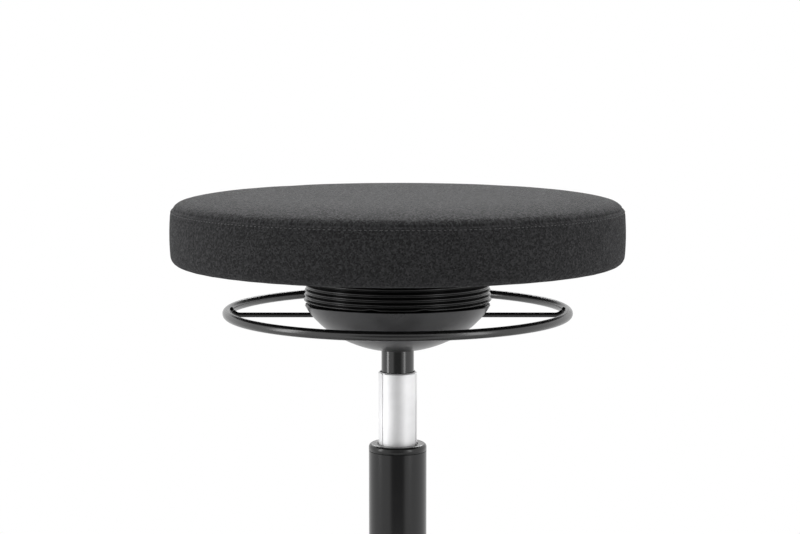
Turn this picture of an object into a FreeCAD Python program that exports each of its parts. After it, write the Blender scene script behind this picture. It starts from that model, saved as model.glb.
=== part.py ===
import FreeCAD, Part
import math
import os

import Sketcher
from FreeCAD import Placement, Rotation, Vector

# A round stool whose seat tips on a cardan joint. The joint sits in a bowl-shaped
# housing on a three-part gas column, and the column stands in a five-armed base
# on twin-wheel castors. Lengths are in millimetres, +Z is up, and the origin is
# on the floor below the column's axis.

SIZES = {
    # Seat: upholstered disc, measured to the outside of its cover
    "seat_level": 480.0,
    "seat_radius": 193.4,
    "seat_side": 53.0,
    "seat_crown": 6.0,
    "seat_shoulder": 13.0,
    "seat_hem_round": 8.0,
    "seat_bulge_radius": 240.0,
    "cover_thickness": 1.5,
    "cover_opening": 150.0,
    "pan_edge": 13.4,
    "pan_thickness": 12.0,
    "liner_gap": 0.5,
    # Seat yoke, bolts and tee nuts
    "yoke_inset": 11.5,
    "yoke_plate": 4.0,
    "bolt_radius": 3.0,
    "bolt_circle": 50.0,
    "bolt_head": 5.0,
    "bolt_head_depth": 4.0,
    "teenut_flange": 9.0,
    "teenut_flange_depth": 1.5,
    "teenut_barrel": 4.0,
    # Cardan joint
    "joint_drop": 20.0,
    "ear_inside": 24.0,
    "ear_thickness": 8.0,
    "ear_round": 10.0,
    "cross_pin": 4.0,
    "cross_shoulder": 6.5,
    "cross_block": 18.0,
    "bush_wall": 2.0,
    "end_play": 1.0,
    # Carrier and gas spring cone
    "carrier_radius": 44.0,
    "carrier_plate": 8.0,
    "carrier_drop": 52.0,
    "socket_radius": 20.0,
    "socket_depth": 19.0,
    "cone_loss": 0.6,
    # Housing bowl
    "bowl_radius": 79.5,
    "bowl_drop": 34.0,
    "bowl_knee": 61.3,
    "bowl_knee_depth": 23.3,
    "bowl_depth": 42.0,
    "bowl_wall": 2.5,
    "bowl_side_round": 56.0,
    "bowl_floor_round": 104.0,
    "bowl_neck": 14.4,
    "bowl_screw_circle": 34.0,
    "bowl_boss": 6.0,
    "bowl_post": 4.0,
    "bowl_post_circle": 62.0,
    "screw_radius": 2.0,
    "screw_head": 4.0,
    "screw_head_depth": 2.5,
    "screw_seat_depth": 7.5,
    "screw_grip": 6.0,
    "screw_play": 0.1,
    "rod_slot_width": 7.0,
    "rod_slot_play": 2.3,
    # Spring plate, rubber buffers and bellows
    "spring_plate": 3.0,
    "spring_plate_hole": 42.0,
    "buffer_radius": 8.0,
    "buffer_inset": 10.0,
    "soft_gap": 0.3,
    "bellows_draw_in": 1.7,
    "bellows_overhang": 0.9,
    "bellows_rib": 1.8,
    "bellows_wall": 1.5,
    "bellows_foot": 3.0,
    "bellows_foot_gap": 2.4,
    "retainer_depth": 6.0,
    # Ring lever
    "ring_radius": 146.0,
    "ring_wire": 4.0,
    "ring_drop": 43.0,
    "rod_drop": 46.0,
    "rod_radius": 2.1,
    "rod_straight_end": 138.0,
    "rod_weld_reach": 144.0,
    "lever_plate": 6.0,
    "lever_span": 46.0,
    "lever_arm_width": 12.0,
    "lever_tongue_width": 18.0,
    "lever_front": 8.0,
    "lever_bar_width": 16.0,
    "lever_bar_height": 8.0,
    "lever_bar_overhang": 3.5,
    "pivot_back": 42.0,
    "pivot_pin": 2.0,
    "lug_inside": 12.0,
    "lug_width": 8.0,
    "lug_half": 5.0,
    "lug_play": 0.6,
    # Valve
    "valve_radius": 4.0,
    "valve_rise": 6.2,
    "valve_depth": 26.0,
    "valve_gap": 0.3,
    "valve_room": 1.5,
    "valve_travel": 3.0,
    # Gas spring and telescope
    "running": 0.05,
    "gas_radius": 14.0,
    "gas_wall": 1.5,
    "gas_bottom": 145.0,
    "gas_cap": 30.0,
    "gas_seal": 12.0,
    "piston_rod": 5.0,
    "piston_top": 326.0,
    "piston_depth": 8.0,
    "telescope_radius": 16.5,
    "telescope_wall": 1.5,
    "telescope_top": 385.0,
    "telescope_bottom": 165.0,
    "telescope_chamfer": 1.0,
    "liner_length": 60.0,
    "liner_drop": 1.0,
    "telescope_groove": 0.6,
    "telescope_groove_width": 3.0,
    # Outer tube, collar and bushes
    "tube_radius": 25.0,
    "tube_wall": 1.8,
    "tube_top": 316.0,
    "tube_floor": 63.0,
    "tube_floor_plate": 3.0,
    "tube_floor_hole": 6.0,
    "collar_top": 322.3,
    "collar_chamfer": 2.0,
    "collar_plug": 8.0,
    "collar_play": 0.3,
    "guide_length": 44.0,
    "guide_drop": 9.0,
    # Thrust bearing at the foot of the piston rod
    "race_radius": 12.0,
    "race_depth": 1.5,
    "ball_radius": 1.5,
    "ball_circle": 9.0,
    "ball_play": 0.02,
    "cage_depth": 1.6,
    "cage_half_width": 2.5,
    "rod_flange_depth": 2.5,
    "bumper_depth": 7.0,
    "clip_radius": 9.0,
    "clip_depth": 1.2,
    "clip_groove": 0.8,
    "clip_drop": 0.3,
    "rod_foot": 2.5,
    "bumper_radius": 11.0,
    # Five-armed base
    "hub_radius": 35.0,
    "hub_bottom": 72.0,
    "hub_top": 126.0,
    "hub_chamfer": 3.0,
    "arm_root_width": 44.0,
    "arm_root_height": 42.0,
    "arm_tip_width": 24.0,
    "arm_tip_height": 19.0,
    "arm_bottom": 77.0,
    "arm_taper": 0.8,
    "arm_wall": 4.0,
    "arm_bite": 6.0,
    "tip_radius": 14.0,
    "tip_bottom": 72.0,
    "tip_top": 98.0,
    "castor_circle": 245.0,
    # Castor
    "wheel_radius": 32.5,
    "wheel_width": 18.0,
    "wheel_edge": 2.5,
    "wheel_rim": 6.0,
    "wheel_dish": 4.0,
    "wheel_boss": 9.0,
    "castor_trail": 28.0,
    "web_width": 6.0,
    "wheel_play": 1.2,
    "hood_skirt": 14.0,
    "hood_gap": 1.5,
    "hood_wall": 2.5,
    "axle_radius": 3.0,
    "stem_radius": 5.5,
    "stem_boss": 10.0,
    "stem_boss_top": 70.0,
    "stem_boss_foot": 52.0,
    "stem_foot": 60.0,
    "stem_depth": 20.0,
    "stem_end_play": 1.0,
}
ARMS = 5
BOLTS = 4
BOWL_SCREWS = 3
BUFFERS = 6
BELLOWS_RIBS = 8
RIB_CREST = (0.3, 0.7)
GROOVES = 3
GROOVE_ANGLE = 221.0
BALLS = 10
QUARTER = 90.0


class Size:
    """A length that remembers the formula it was worked out from."""

    def __init__(self, value, text):
        self.value = value
        self.text = text

    def joined(self, mark, other, value, first=True):
        text = other.text if isinstance(other, Size) else repr(other)
        pair = (self.text, text) if first else (text, self.text)
        return Size(value, f"({pair[0]} {mark} {pair[1]})")

    def __add__(self, other):
        return self.joined("+", other, self.value + number(other))

    def __radd__(self, other):
        return self.joined("+", other, number(other) + self.value, False)

    def __sub__(self, other):
        return self.joined("-", other, self.value - number(other))

    def __rsub__(self, other):
        return self.joined("-", other, number(other) - self.value, False)

    def __mul__(self, other):
        return self.joined("*", other, self.value * number(other))

    def __rmul__(self, other):
        return self.joined("*", other, number(other) * self.value, False)

    def __truediv__(self, other):
        return self.joined("/", other, self.value / number(other))

    def __neg__(self):
        return Size(-self.value, f"(0 - {self.text})")


def number(size):
    return size.value if isinstance(size, Size) else size


doc = FreeCAD.newDocument("wobble_stool")
sheet = doc.addObject("Spreadsheet::Sheet", "Sizes")
for row, (alias, value) in enumerate(SIZES.items(), start=1):
    sheet.set(f"A{row}", alias)
    sheet.set(f"B{row}", str(value))
    sheet.setAlias(f"B{row}", alias)
doc.recompute()


def size(alias):
    return Size(SIZES[alias], f"Sizes.{alias}")


def bind(item, name, amount):
    """Set one property, and tie it to the sheet when it comes from there."""
    if isinstance(amount, Size):
        item.setExpression(name, amount.text)
    else:
        setattr(item, name, amount)


def put(item, x=0, y=0, z=0, turn=Rotation()):
    """Place an item at a point worked out from the sheet."""
    item.Placement = Placement(Vector(number(x), number(y), number(z)), turn)
    for axis, amount in zip("xyz", (x, y, z)):
        if isinstance(amount, Size):
            item.setExpression(f"Placement.Base.{axis}", amount.text)
    return item


ALONG = {
    "X": Rotation(Vector(0, 1, 0), QUARTER),
    "Y": Rotation(Vector(1, 0, 0), -QUARTER),
    "Z": Rotation(),
}


def cylinder(radius, length, x=0, y=0, z=0, along="Z"):
    item = doc.addObject("Part::Cylinder", "round_bar")
    bind(item, "Radius", radius)
    bind(item, "Height", length)
    return put(item, x, y, z, ALONG[along])


def block(length, width, height, x=0, y=0, z=0):
    """A box centred on x and y, standing on z."""
    item = doc.addObject("Part::Box", "block")
    bind(item, "Length", length)
    bind(item, "Width", width)
    bind(item, "Height", height)
    return put(item, x - length / 2, y - width / 2, z)


def joined(label, *pieces):
    item = doc.addObject("Part::MultiFuse", label)
    item.Shapes = list(pieces)
    item.Refine = True
    item.Label = label
    return item


def cut(label, body, *tools):
    item = doc.addObject("Part::Cut", label)
    item.Base = body
    item.Tool = tools[0] if len(tools) == 1 else joined(label + "_tools", *tools)
    item.Refine = True
    item.Label = label
    return item


def group(label, *pieces):
    item = doc.addObject("Part::Compound", label)
    item.Links = list(pieces)
    item.Label = label
    return item


def arc_middle(start, end, radius):
    """The middle point of an arc that turns left for a positive radius."""
    chord = end - start
    side = Vector(-chord.y, chord.x, 0).normalize() * math.copysign(1, radius)
    reach = abs(radius) - math.sqrt(radius**2 - (chord.Length / 2) ** 2)
    return (start + end) / 2 - side * reach


def drawn(body, plane, outline, lift=0):
    """A closed sketch on an origin plane of its body.

    Each corner of the outline is (x, y) or (x, y, radius), where radius bends
    the side that leads to the next corner.
    """
    sketch = body.newObject("Sketcher::SketchObject", body.Name + "_outline")
    origin = next(f for f in body.Origin.OriginFeatures if f.Role == plane)
    sketch.AttachmentSupport = [(origin, "")]
    sketch.MapMode = "FlatFace"
    sketch.AttachmentOffset = Placement(Vector(0, 0, number(lift)), Rotation())
    if isinstance(lift, Size):
        sketch.setExpression("AttachmentOffset.Base.z", lift.text)
    corners = [Vector(number(c[0]), number(c[1]), 0) for c in outline]
    count = len(outline)
    for i, corner in enumerate(outline):
        start, end = corners[i], corners[(i + 1) % count]
        if len(corner) == 3:
            middle = arc_middle(start, end, number(corner[2]))
            sketch.addGeometry(Part.Arc(start, middle, end), False)
        else:
            sketch.addGeometry(Part.LineSegment(start, end), False)

    def end_at(side, point):
        nearer = (sketch.getPoint(side, 1) - point).Length
        return 1 if nearer < (sketch.getPoint(side, 2) - point).Length else 2

    ties = []
    for i, corner in enumerate(outline):
        here = (i, end_at(i, corners[i]))
        before = ((i - 1) % count, end_at((i - 1) % count, corners[i]))
        sketch.addConstraint(Sketcher.Constraint("Coincident", *before, *here))
        for kind, axis, amount in (("DistanceX", -2, corner[0]), ("DistanceY", -1, corner[1])):
            if number(amount) == 0:
                sketch.addConstraint(Sketcher.Constraint("PointOnObject", *here, axis))
                continue
            tie = Sketcher.Constraint(kind, -1, 1, *here, number(amount))
            ties.append((sketch.addConstraint(tie), amount))
        if len(corner) == 3:
            tie = Sketcher.Constraint("Radius", i, abs(number(corner[2])))
            bend = corner[2] if number(corner[2]) > 0 else -corner[2]
            ties.append((sketch.addConstraint(tie), bend))
    for index, amount in ties:
        if isinstance(amount, Size):
            sketch.setExpression(f"Constraints[{index}]", amount.text)
    return sketch


def turned(label, outline, axis="V_Axis"):
    """A body of revolution about Z, or about X with axis H_Axis."""
    body = doc.addObject("PartDesign::Body", label)
    body.Label = label
    lathe = body.newObject("PartDesign::Revolution", label + "_turning")
    lathe.Profile = drawn(body, "XZ_Plane", outline)
    lathe.ReferenceAxis = (lathe.Profile[0], [axis])
    lathe.Angle = 360
    body.Tip = lathe
    return body


def tube(label, inside, outside, bottom, top):
    """A plain ring or sleeve about Z."""
    return turned(label, [(inside, bottom), (outside, bottom), (outside, top), (inside, top)])


def spots(count, radius, first=0.0):
    """Points evenly spaced round the column's axis."""
    for i in range(count):
        angle = math.radians(first + 360 * i / count)
        yield radius * math.cos(angle), radius * math.sin(angle)


seat_level = size("seat_level")
joint_level = seat_level - size("joint_drop")
rim_level = seat_level - size("bowl_drop")
carrier_level = seat_level - size("carrier_drop")
ring_level = seat_level - size("ring_drop")
rod_level = seat_level - size("rod_drop")
running = size("running")
soft_gap = size("soft_gap")
ear_inside = size("ear_inside")
ear_outside = ear_inside + size("ear_thickness")
bush_radius = size("cross_pin") + size("bush_wall")
nodes = []


def keep(item):
    nodes.append(item)
    return item


# Seat upholstery: a moulded foam disc on a plywood pan, in a cover of two panels


def upholstery(inset):
    """The outline of the cushion from the hem round to the crown, set in evenly."""
    side = size("seat_radius")
    shoulder = size("seat_shoulder")
    hem = size("seat_hem_round")
    top = seat_level + size("seat_side")
    crown = size("seat_crown")
    flat = side - shoulder
    crown_radius = (flat * flat + crown * crown) / (crown * 2)
    return [
        (side - hem, seat_level + inset, hem - inset),
        (side - inset, seat_level + hem, size("seat_bulge_radius") - inset),
        (side - inset, top - shoulder, shoulder - inset),
        (flat, top - inset, crown_radius),
        (0, top + crown - inset),
    ]


cover_thickness = size("cover_thickness")
pan_bottom = seat_level + cover_thickness
pan_top = pan_bottom + size("pan_thickness")
pan_radius = size("seat_radius") - size("pan_edge")
bolt_spots = list(spots(BOLTS, size("bolt_circle"), 45))

cover_core = turned("cover_core", [(0, pan_bottom)] + upholstery(cover_thickness))
cover_skin = turned("cover_skin", [(0, seat_level)] + upholstery(0))
cover_mouth = cylinder(size("cover_opening"), cover_thickness * 2, z=seat_level - cover_thickness)
keep(cut("seat_cover", cover_skin, cover_core, cover_mouth))

foam_block = turned(
    "foam_block",
    [(0, pan_top), (pan_radius, pan_top), (pan_radius, pan_bottom)] + upholstery(cover_thickness),
)
flange_rooms = [
    cylinder(size("teenut_flange"), size("teenut_flange_depth"), x, y, pan_top)
    for x, y in bolt_spots
]
keep(cut("seat_foam", foam_block, *flange_rooms))

pan_holes = [
    cylinder(size("teenut_barrel"), size("pan_thickness"), x, y, pan_bottom)
    for x, y in bolt_spots
]
keep(cut("seat_pan", cylinder(pan_radius, size("pan_thickness"), z=pan_bottom), *pan_holes))

tee_nuts = []
for x, y in bolt_spots:
    barrel = cylinder(size("teenut_barrel"), size("pan_thickness"), x, y, pan_bottom)
    flange = cylinder(size("teenut_flange"), size("teenut_flange_depth"), x, y, pan_top)
    thread = cylinder(size("bolt_radius"), pan_top - pan_bottom, x, y, pan_bottom)
    tee_nuts.append(cut("tee_nut", joined("tee_nut_blank", barrel, flange), thread))
keep(group("tee_nuts", *tee_nuts))

yoke_radius = size("bowl_radius") - size("yoke_inset")
keep(
    tube(
        "underside_cover",
        yoke_radius + size("liner_gap"),
        size("cover_opening") - size("liner_gap"),
        seat_level,
        pan_bottom,
    )
)

# Cardan joint: seat yoke above, cross between, carrier yoke below


def ear(label, side, towards, root):
    """One ear of a yoke, with a rounded end about the cross pin."""
    reach = ear_inside if side > 0 else -ear_outside
    width = size("ear_round") * 2
    foot = joint_level if number(root) > number(joint_level) else root
    length = root - joint_level if number(root) > number(joint_level) else joint_level - root
    middle = (ear_inside + ear_outside) / 2 * side
    if towards == "X":
        stem = block(size("ear_thickness"), width, length, middle, 0, foot)
        end = cylinder(size("ear_round"), size("ear_thickness"), reach, 0, joint_level, "X")
    else:
        stem = block(width, size("ear_thickness"), length, 0, middle, foot)
        end = cylinder(size("ear_round"), size("ear_thickness"), 0, reach, joint_level, "Y")
    return joined(label, stem, end)


def bush(side, towards):
    """A plain bearing bush in one ear."""
    reach = ear_inside if side > 0 else -ear_outside
    x, y = (reach, 0) if towards == "X" else (0, reach)
    shell = cylinder(bush_radius, size("ear_thickness"), x, y, joint_level, towards)
    hole = cylinder(size("cross_pin") + running, size("ear_thickness"), x, y, joint_level, towards)
    return cut("bush", shell, hole)


def ear_bore(towards):
    x, y = (-ear_outside, 0) if towards == "X" else (0, -ear_outside)
    return cylinder(bush_radius, ear_outside * 2, x, y, joint_level, towards)


yoke_bottom = pan_bottom - size("yoke_plate")
yoke_blank = joined(
    "yoke_blank",
    cylinder(yoke_radius, size("yoke_plate"), z=yoke_bottom),
    ear("yoke_ear_front", -1, "Y", yoke_bottom),
    ear("yoke_ear_back", 1, "Y", yoke_bottom),
)
yoke_holes = [
    cylinder(size("bolt_radius"), size("yoke_plate"), x, y, yoke_bottom) for x, y in bolt_spots
]
keep(cut("seat_yoke", yoke_blank, ear_bore("Y"), *yoke_holes))
keep(group("upper_cross_bushes", bush(-1, "Y"), bush(1, "Y")))

seat_bolts = []
for x, y in bolt_spots:
    head_bottom = yoke_bottom - size("bolt_head_depth")
    head = cylinder(size("bolt_head"), size("bolt_head_depth"), x, y, head_bottom)
    shank = cylinder(size("bolt_radius"), pan_top - yoke_bottom, x, y, yoke_bottom)
    seat_bolts.append(joined("seat_bolt", head, shank))
keep(group("seat_bolts", *seat_bolts))

cross_reach = ear_outside + size("end_play")
shoulder_reach = ear_inside - size("end_play")
keep(
    joined(
        "cross",
        block(
            size("cross_block"),
            size("cross_block"),
            size("cross_block"),
            0,
            0,
            joint_level - size("cross_block") / 2,
        ),
        cylinder(size("cross_pin"), cross_reach * 2, -cross_reach, 0, joint_level, "X"),
        cylinder(size("cross_pin"), cross_reach * 2, 0, -cross_reach, joint_level, "Y"),
        cylinder(
            size("cross_shoulder"), shoulder_reach * 2, -shoulder_reach, 0, joint_level, "X"
        ),
        cylinder(
            size("cross_shoulder"), shoulder_reach * 2, 0, -shoulder_reach, joint_level, "Y"
        ),
    )
)

# Carrier: a die-cast plate with the socket for the gas spring's cone, the lower
# yoke and the lugs of the lever's pivot

carrier_bottom = carrier_level - size("carrier_plate")
socket_bottom = carrier_level - size("socket_depth")
pivot_back = size("pivot_back")
lug_middle = size("lug_inside") + size("lug_width") / 2
lug_top = rod_level + size("lug_half")
gas_radius = size("gas_radius")
cone_top_radius = gas_radius - size("cone_loss")
bowl_screw_spots = list(spots(BOWL_SCREWS, size("bowl_screw_circle"), -90))

gas_cone = turned(
    "gas_cone",
    [
        (0, socket_bottom),
        (gas_radius, socket_bottom),
        (cone_top_radius, carrier_level),
        (0, carrier_level),
    ],
)
pivot_beam = block(
    lug_middle * 2 + size("lug_width"),
    pivot_back + size("lug_half"),
    size("carrier_plate"),
    0,
    (pivot_back + size("lug_half")) / 2,
    carrier_bottom,
)
lugs = [
    block(
        size("lug_width"),
        size("lug_half") * 2,
        lug_top - carrier_bottom,
        lug_middle * side,
        pivot_back,
        carrier_bottom,
    )
    for side in (-1, 1)
]
carrier_blank = joined(
    "carrier_blank",
    cylinder(size("carrier_radius"), size("carrier_plate"), z=carrier_bottom),
    cylinder(size("socket_radius"), size("socket_depth"), z=socket_bottom),
    ear("carrier_ear_left", -1, "X", carrier_bottom),
    ear("carrier_ear_right", 1, "X", carrier_bottom),
    pivot_beam,
    *lugs,
)
pivot_reach = size("lever_span") - size("lug_play")
pivot_bore = cylinder(size("pivot_pin"), pivot_reach * 2, -pivot_reach, pivot_back, rod_level, "X")
carrier_taps = [
    cylinder(size("screw_radius"), size("screw_grip"), x, y, carrier_bottom)
    for x, y in bowl_screw_spots
]
keep(cut("carrier", carrier_blank, gas_cone, ear_bore("X"), pivot_bore, *carrier_taps))
keep(group("lower_cross_bushes", bush(-1, "X"), bush(1, "X")))
pivot_pin = cylinder(size("pivot_pin"), pivot_reach * 2, -pivot_reach, pivot_back, rod_level, "X")
keep(group("lever_pivot_pin", pivot_pin))

# Housing bowl: a moulded dish screwed up to the carrier, with posts for the
# spring plate and a slot on each side for the lever's rods


def bowl_wall(inset):
    """The dish's floor and side from its neck up to its rim, set in evenly."""
    floor_level = rim_level - size("bowl_depth")
    knee_level = rim_level - size("bowl_knee_depth")
    return [
        (size("bowl_neck"), floor_level + inset, size("bowl_floor_round") - inset),
        (size("bowl_knee") - inset, knee_level + inset, size("bowl_side_round") - inset),
        (size("bowl_radius") - inset, rim_level),
    ]


def backwards(outline):
    """The same corners in the other order, with their bends."""
    bends = [corner[2:] for corner in outline[:-1]]
    points = [corner[:2] for corner in outline[::-1]]
    turned_bends = [(-bend[0],) if bend else () for bend in bends[::-1]] + [()]
    return [point + bend for point, bend in zip(points, turned_bends)]


def inside_bowl(radius, top, x, y):
    """A post that grows from the dish's floor."""
    post = doc.addObject("Part::Common", "post")
    post.Base = bowl_full
    foot = rim_level - size("bowl_depth")
    post.Tool = cylinder(radius, top - foot, x, y, foot)
    return post


bowl_full = turned(
    "bowl_full", [(0, rim_level - size("bowl_depth"))] + bowl_wall(0) + [(0, rim_level)]
)
bowl_skin = turned("bowl_skin", bowl_wall(0) + backwards(bowl_wall(size("bowl_wall"))))
plate_bottom = rim_level - size("spring_plate")
bowl_post_spots = list(spots(BOWL_SCREWS, size("bowl_post_circle"), -90))
bosses = [inside_bowl(size("bowl_boss"), carrier_bottom, x, y) for x, y in bowl_screw_spots]
posts = [inside_bowl(size("bowl_post"), plate_bottom, x, y) for x, y in bowl_post_spots]
bowl_blank = joined("bowl_blank", bowl_skin, *bosses, *posts)

screw_seat = carrier_bottom - size("screw_seat_depth")
screw_hole = size("screw_radius") + size("screw_play")
head_hole = size("screw_head") + size("screw_play")
bowl_cuts = []
for x, y in bowl_screw_spots:
    bowl_cuts.append(cylinder(head_hole, size("bowl_depth"), x, y, screw_seat - size("bowl_depth")))
    bowl_cuts.append(cylinder(screw_hole, size("bowl_depth"), x, y, screw_seat))
for x, y in bowl_post_spots:
    bowl_cuts.append(
        cylinder(size("screw_radius"), size("screw_grip"), x, y, plate_bottom - size("screw_grip"))
    )
slot_bottom = rod_level - size("rod_radius") - size("rod_slot_play")
rod_slots = block(
    (size("bowl_radius") + size("bowl_wall")) * 2,
    size("rod_slot_width"),
    rim_level - slot_bottom + size("bowl_wall"),
    0,
    0,
    slot_bottom,
)
slot_core = cylinder(size("bowl_knee"), size("bowl_depth") * 2, z=rim_level - size("bowl_depth"))
bowl_cuts.append(cut("rod_slots", rod_slots, slot_core))
keep(cut("housing_bowl", bowl_blank, *bowl_cuts))

screws = []
for x, y in bowl_screw_spots:
    head = cylinder(
        size("screw_head"), size("screw_head_depth"), x, y, screw_seat - size("screw_head_depth")
    )
    reach = size("screw_seat_depth") + size("screw_grip")
    screws.append(joined("screw", head, cylinder(size("screw_radius"), reach, x, y, screw_seat)))
for x, y in bowl_post_spots:
    head = cylinder(size("screw_head"), size("screw_head_depth"), x, y, rim_level)
    reach = size("spring_plate") + size("screw_grip")
    shank = cylinder(size("screw_radius"), reach, x, y, rim_level - reach)
    screws.append(joined("screw", head, shank))
keep(group("housing_screws", *screws))

# Spring plate and the rubber buffers that bring the seat level again

foot_outside = size("bowl_radius") - size("bowl_wall") - size("bellows_foot_gap")
foot_inside = foot_outside - size("bellows_wall")
plate_blank = tube(
    "plate_blank",
    size("spring_plate_hole"),
    foot_inside - soft_gap,
    plate_bottom,
    rim_level,
)
plate_holes = [
    cylinder(size("screw_radius"), size("spring_plate"), x, y, plate_bottom)
    for x, y in bowl_post_spots
]
keep(cut("spring_plate", plate_blank, *plate_holes))
buffer_height = yoke_bottom - soft_gap - rim_level
keep(
    group(
        "rubber_buffers",
        *[
            cylinder(size("buffer_radius"), buffer_height, x, y, rim_level)
            for x, y in spots(BUFFERS, yoke_radius - size("buffer_inset"))
        ],
    )
)

# Bellows: a ribbed rubber sleeve from the seat's retainer to a foot inside the bowl

top_crest = size("bowl_radius") - size("bellows_draw_in")


def bellows_outline():
    """Ribs from the top down, the foot inside the rim, and a plain inside."""
    top = seat_level - soft_gap
    pitch = (top - rim_level) / BELLOWS_RIBS
    first = top_crest
    last = size("bowl_radius") + size("bellows_overhang")
    swell = (last - first) / (BELLOWS_RIBS - 1)
    corners = []
    for rib in range(BELLOWS_RIBS):
        crest = first + swell * rib
        level = top - pitch * rib
        corners.append((crest - size("bellows_rib"), level))
        corners += [(crest, level - pitch * share) for share in RIB_CREST]
    waist = size("bellows_rib") + size("bellows_wall")
    corners += [
        (last - size("bellows_rib") / 2, rim_level + soft_gap * 3),
        (foot_outside, rim_level + soft_gap),
        (foot_outside, rim_level - size("bellows_foot")),
        (foot_inside, rim_level - size("bellows_foot")),
        (foot_inside, rim_level + soft_gap),
        (last - waist, rim_level + pitch / 2),
        (first - waist, top),
    ]
    return corners


keep(turned("bellows", bellows_outline()[::-1]))
retainer_outside = top_crest - size("bellows_rib") - size("bellows_wall") - soft_gap
keep(
    tube(
        "bellows_retainer",
        yoke_radius + size("liner_gap"),
        retainer_outside,
        seat_level - size("retainer_depth"),
        seat_level,
    )
)

# Ring lever: a wire ring on two rods, and the rocker inside the bowl that the
# rods are pressed into

weld_reach = size("rod_weld_reach")
straight_end = size("rod_straight_end")
arm_inside = size("lever_span") - size("lever_arm_width")
rod_length = straight_end - arm_inside
ring = doc.addObject("Part::Torus", "ring")
bind(ring, "Radius1", size("ring_radius"))
bind(ring, "Radius2", size("ring_wire"))
put(ring, 0, 0, ring_level)
lever_pieces = [ring]
for side in (-1, 1):
    start = arm_inside if side > 0 else -straight_end
    lever_pieces.append(cylinder(size("rod_radius"), rod_length, start, 0, rod_level, "X"))
    elbow = doc.addObject("Part::Sphere", "elbow")
    bind(elbow, "Radius", size("rod_radius"))
    lever_pieces.append(put(elbow, straight_end * side, 0, rod_level))
    rise = math.atan2(number(weld_reach - straight_end), number(ring_level - rod_level))
    slope = Rotation(Vector(0, 1, 0), math.degrees(rise) * side)
    tail = doc.addObject("Part::Cylinder", "tail")
    bind(tail, "Radius", size("rod_radius"))
    bind(tail, "Height", weld_reach - straight_end)
    lever_pieces.append(put(tail, straight_end * side, 0, rod_level, slope))
keep(joined("ring_lever", *lever_pieces))

plate_low = rod_level - size("lever_plate") / 2
arm_back = pivot_back - size("lever_bar_width") + size("lever_bar_overhang")
arm_length = arm_back + size("lever_front")
arm_middle = (arm_back - size("lever_front")) / 2
rocker_parts = [
    block(
        size("lever_span") * 2,
        size("lever_bar_width"),
        size("lever_bar_height"),
        0,
        pivot_back + size("lever_bar_overhang") - size("lever_bar_width") / 2,
        rod_level - size("lever_bar_height") / 2,
    ),
    block(size("lever_tongue_width"), arm_length, size("lever_plate"), 0, arm_middle, plate_low),
]
for side in (-1, 1):
    middle = (size("lever_span") - size("lever_arm_width") / 2) * side
    rocker_parts.append(
        block(size("lever_arm_width"), arm_length, size("lever_plate"), middle, arm_middle, plate_low)
    )
rocker_blank = joined("rocker_blank", *rocker_parts)
lug_room = size("lug_width") + size("lug_play") * 2
rocker_cuts = [
    block(
        lug_room,
        (size("lug_half") + size("lug_play")) * 2,
        size("lever_bar_height"),
        lug_middle * side,
        pivot_back,
        rod_level - size("lever_bar_height") / 2,
    )
    for side in (-1, 1)
]
rocker_cuts.append(
    cylinder(
        size("pivot_pin") + running,
        size("lever_span") * 2,
        -size("lever_span"),
        pivot_back,
        rod_level,
        "X",
    )
)
rocker_cuts.append(
    cylinder(size("rod_radius"), size("lever_span") * 2, -size("lever_span"), 0, rod_level, "X")
)
valve_top = carrier_level + size("valve_rise")
tongue_room = valve_top + size("valve_gap") - plate_low
rocker_cuts.append(cylinder(size("valve_radius") + size("valve_room"), tongue_room, z=plate_low))
keep(cut("lever_rocker", rocker_blank, *rocker_cuts))

# Gas spring: its valve pin, cylinder, seal, piston and rod

valve_foot = carrier_level - size("valve_depth") + size("valve_travel")
valve = cylinder(size("valve_radius"), valve_top - valve_foot, z=valve_foot)
keep(group("valve_pin", valve))

gas_inside = gas_radius - size("gas_wall")
gas_bottom = size("gas_bottom")
valve_bore = size("valve_radius") + running
cavity_top = carrier_level - size("gas_cap")
keep(
    turned(
        "gas_cylinder",
        [
            (gas_inside, gas_bottom),
            (gas_radius, gas_bottom),
            (gas_radius, socket_bottom),
            (cone_top_radius, carrier_level),
            (valve_bore, carrier_level),
            (valve_bore, carrier_level - size("valve_depth")),
            (0, carrier_level - size("valve_depth")),
            (0, cavity_top),
            (gas_inside, cavity_top),
        ],
    )
)
piston_rod = size("piston_rod")
keep(tube("gas_seal", piston_rod + running, gas_inside, gas_bottom, gas_bottom + size("gas_seal")))

floor_top = size("tube_floor") + size("tube_floor_plate")
race_top = floor_top + size("race_depth")
ball_level = race_top + size("ball_radius") + size("ball_play")
flange_bottom = ball_level + size("ball_radius") + size("ball_play")
flange_top = flange_bottom + size("rod_flange_depth")
clip_top = size("tube_floor") - size("clip_drop")
clip_bottom = clip_top - size("clip_depth")
groove_radius = piston_rod - size("clip_groove")
keep(
    turned(
        "piston_rod",
        [
            (0, clip_bottom - size("rod_foot")),
            (piston_rod, clip_bottom - size("rod_foot")),
            (piston_rod, clip_bottom),
            (groove_radius, clip_bottom),
            (groove_radius, clip_top),
            (piston_rod, clip_top),
            (piston_rod, flange_bottom),
            (size("race_radius"), flange_bottom),
            (size("race_radius"), flange_top),
            (piston_rod, flange_top),
            (piston_rod, size("piston_top")),
            (0, size("piston_top")),
        ],
    )
)
keep(
    tube(
        "piston",
        piston_rod,
        gas_inside - running,
        size("piston_top") - size("piston_depth"),
        size("piston_top"),
    )
)
keep(
    tube(
        "rod_bumper",
        piston_rod,
        size("bumper_radius"),
        flange_top,
        flange_top + size("bumper_depth"),
    )
)
keep(tube("rod_clip", groove_radius, size("clip_radius"), clip_bottom, clip_top))

# Thrust bearing: balls in a cage between the tube's floor and the rod's flange

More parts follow.
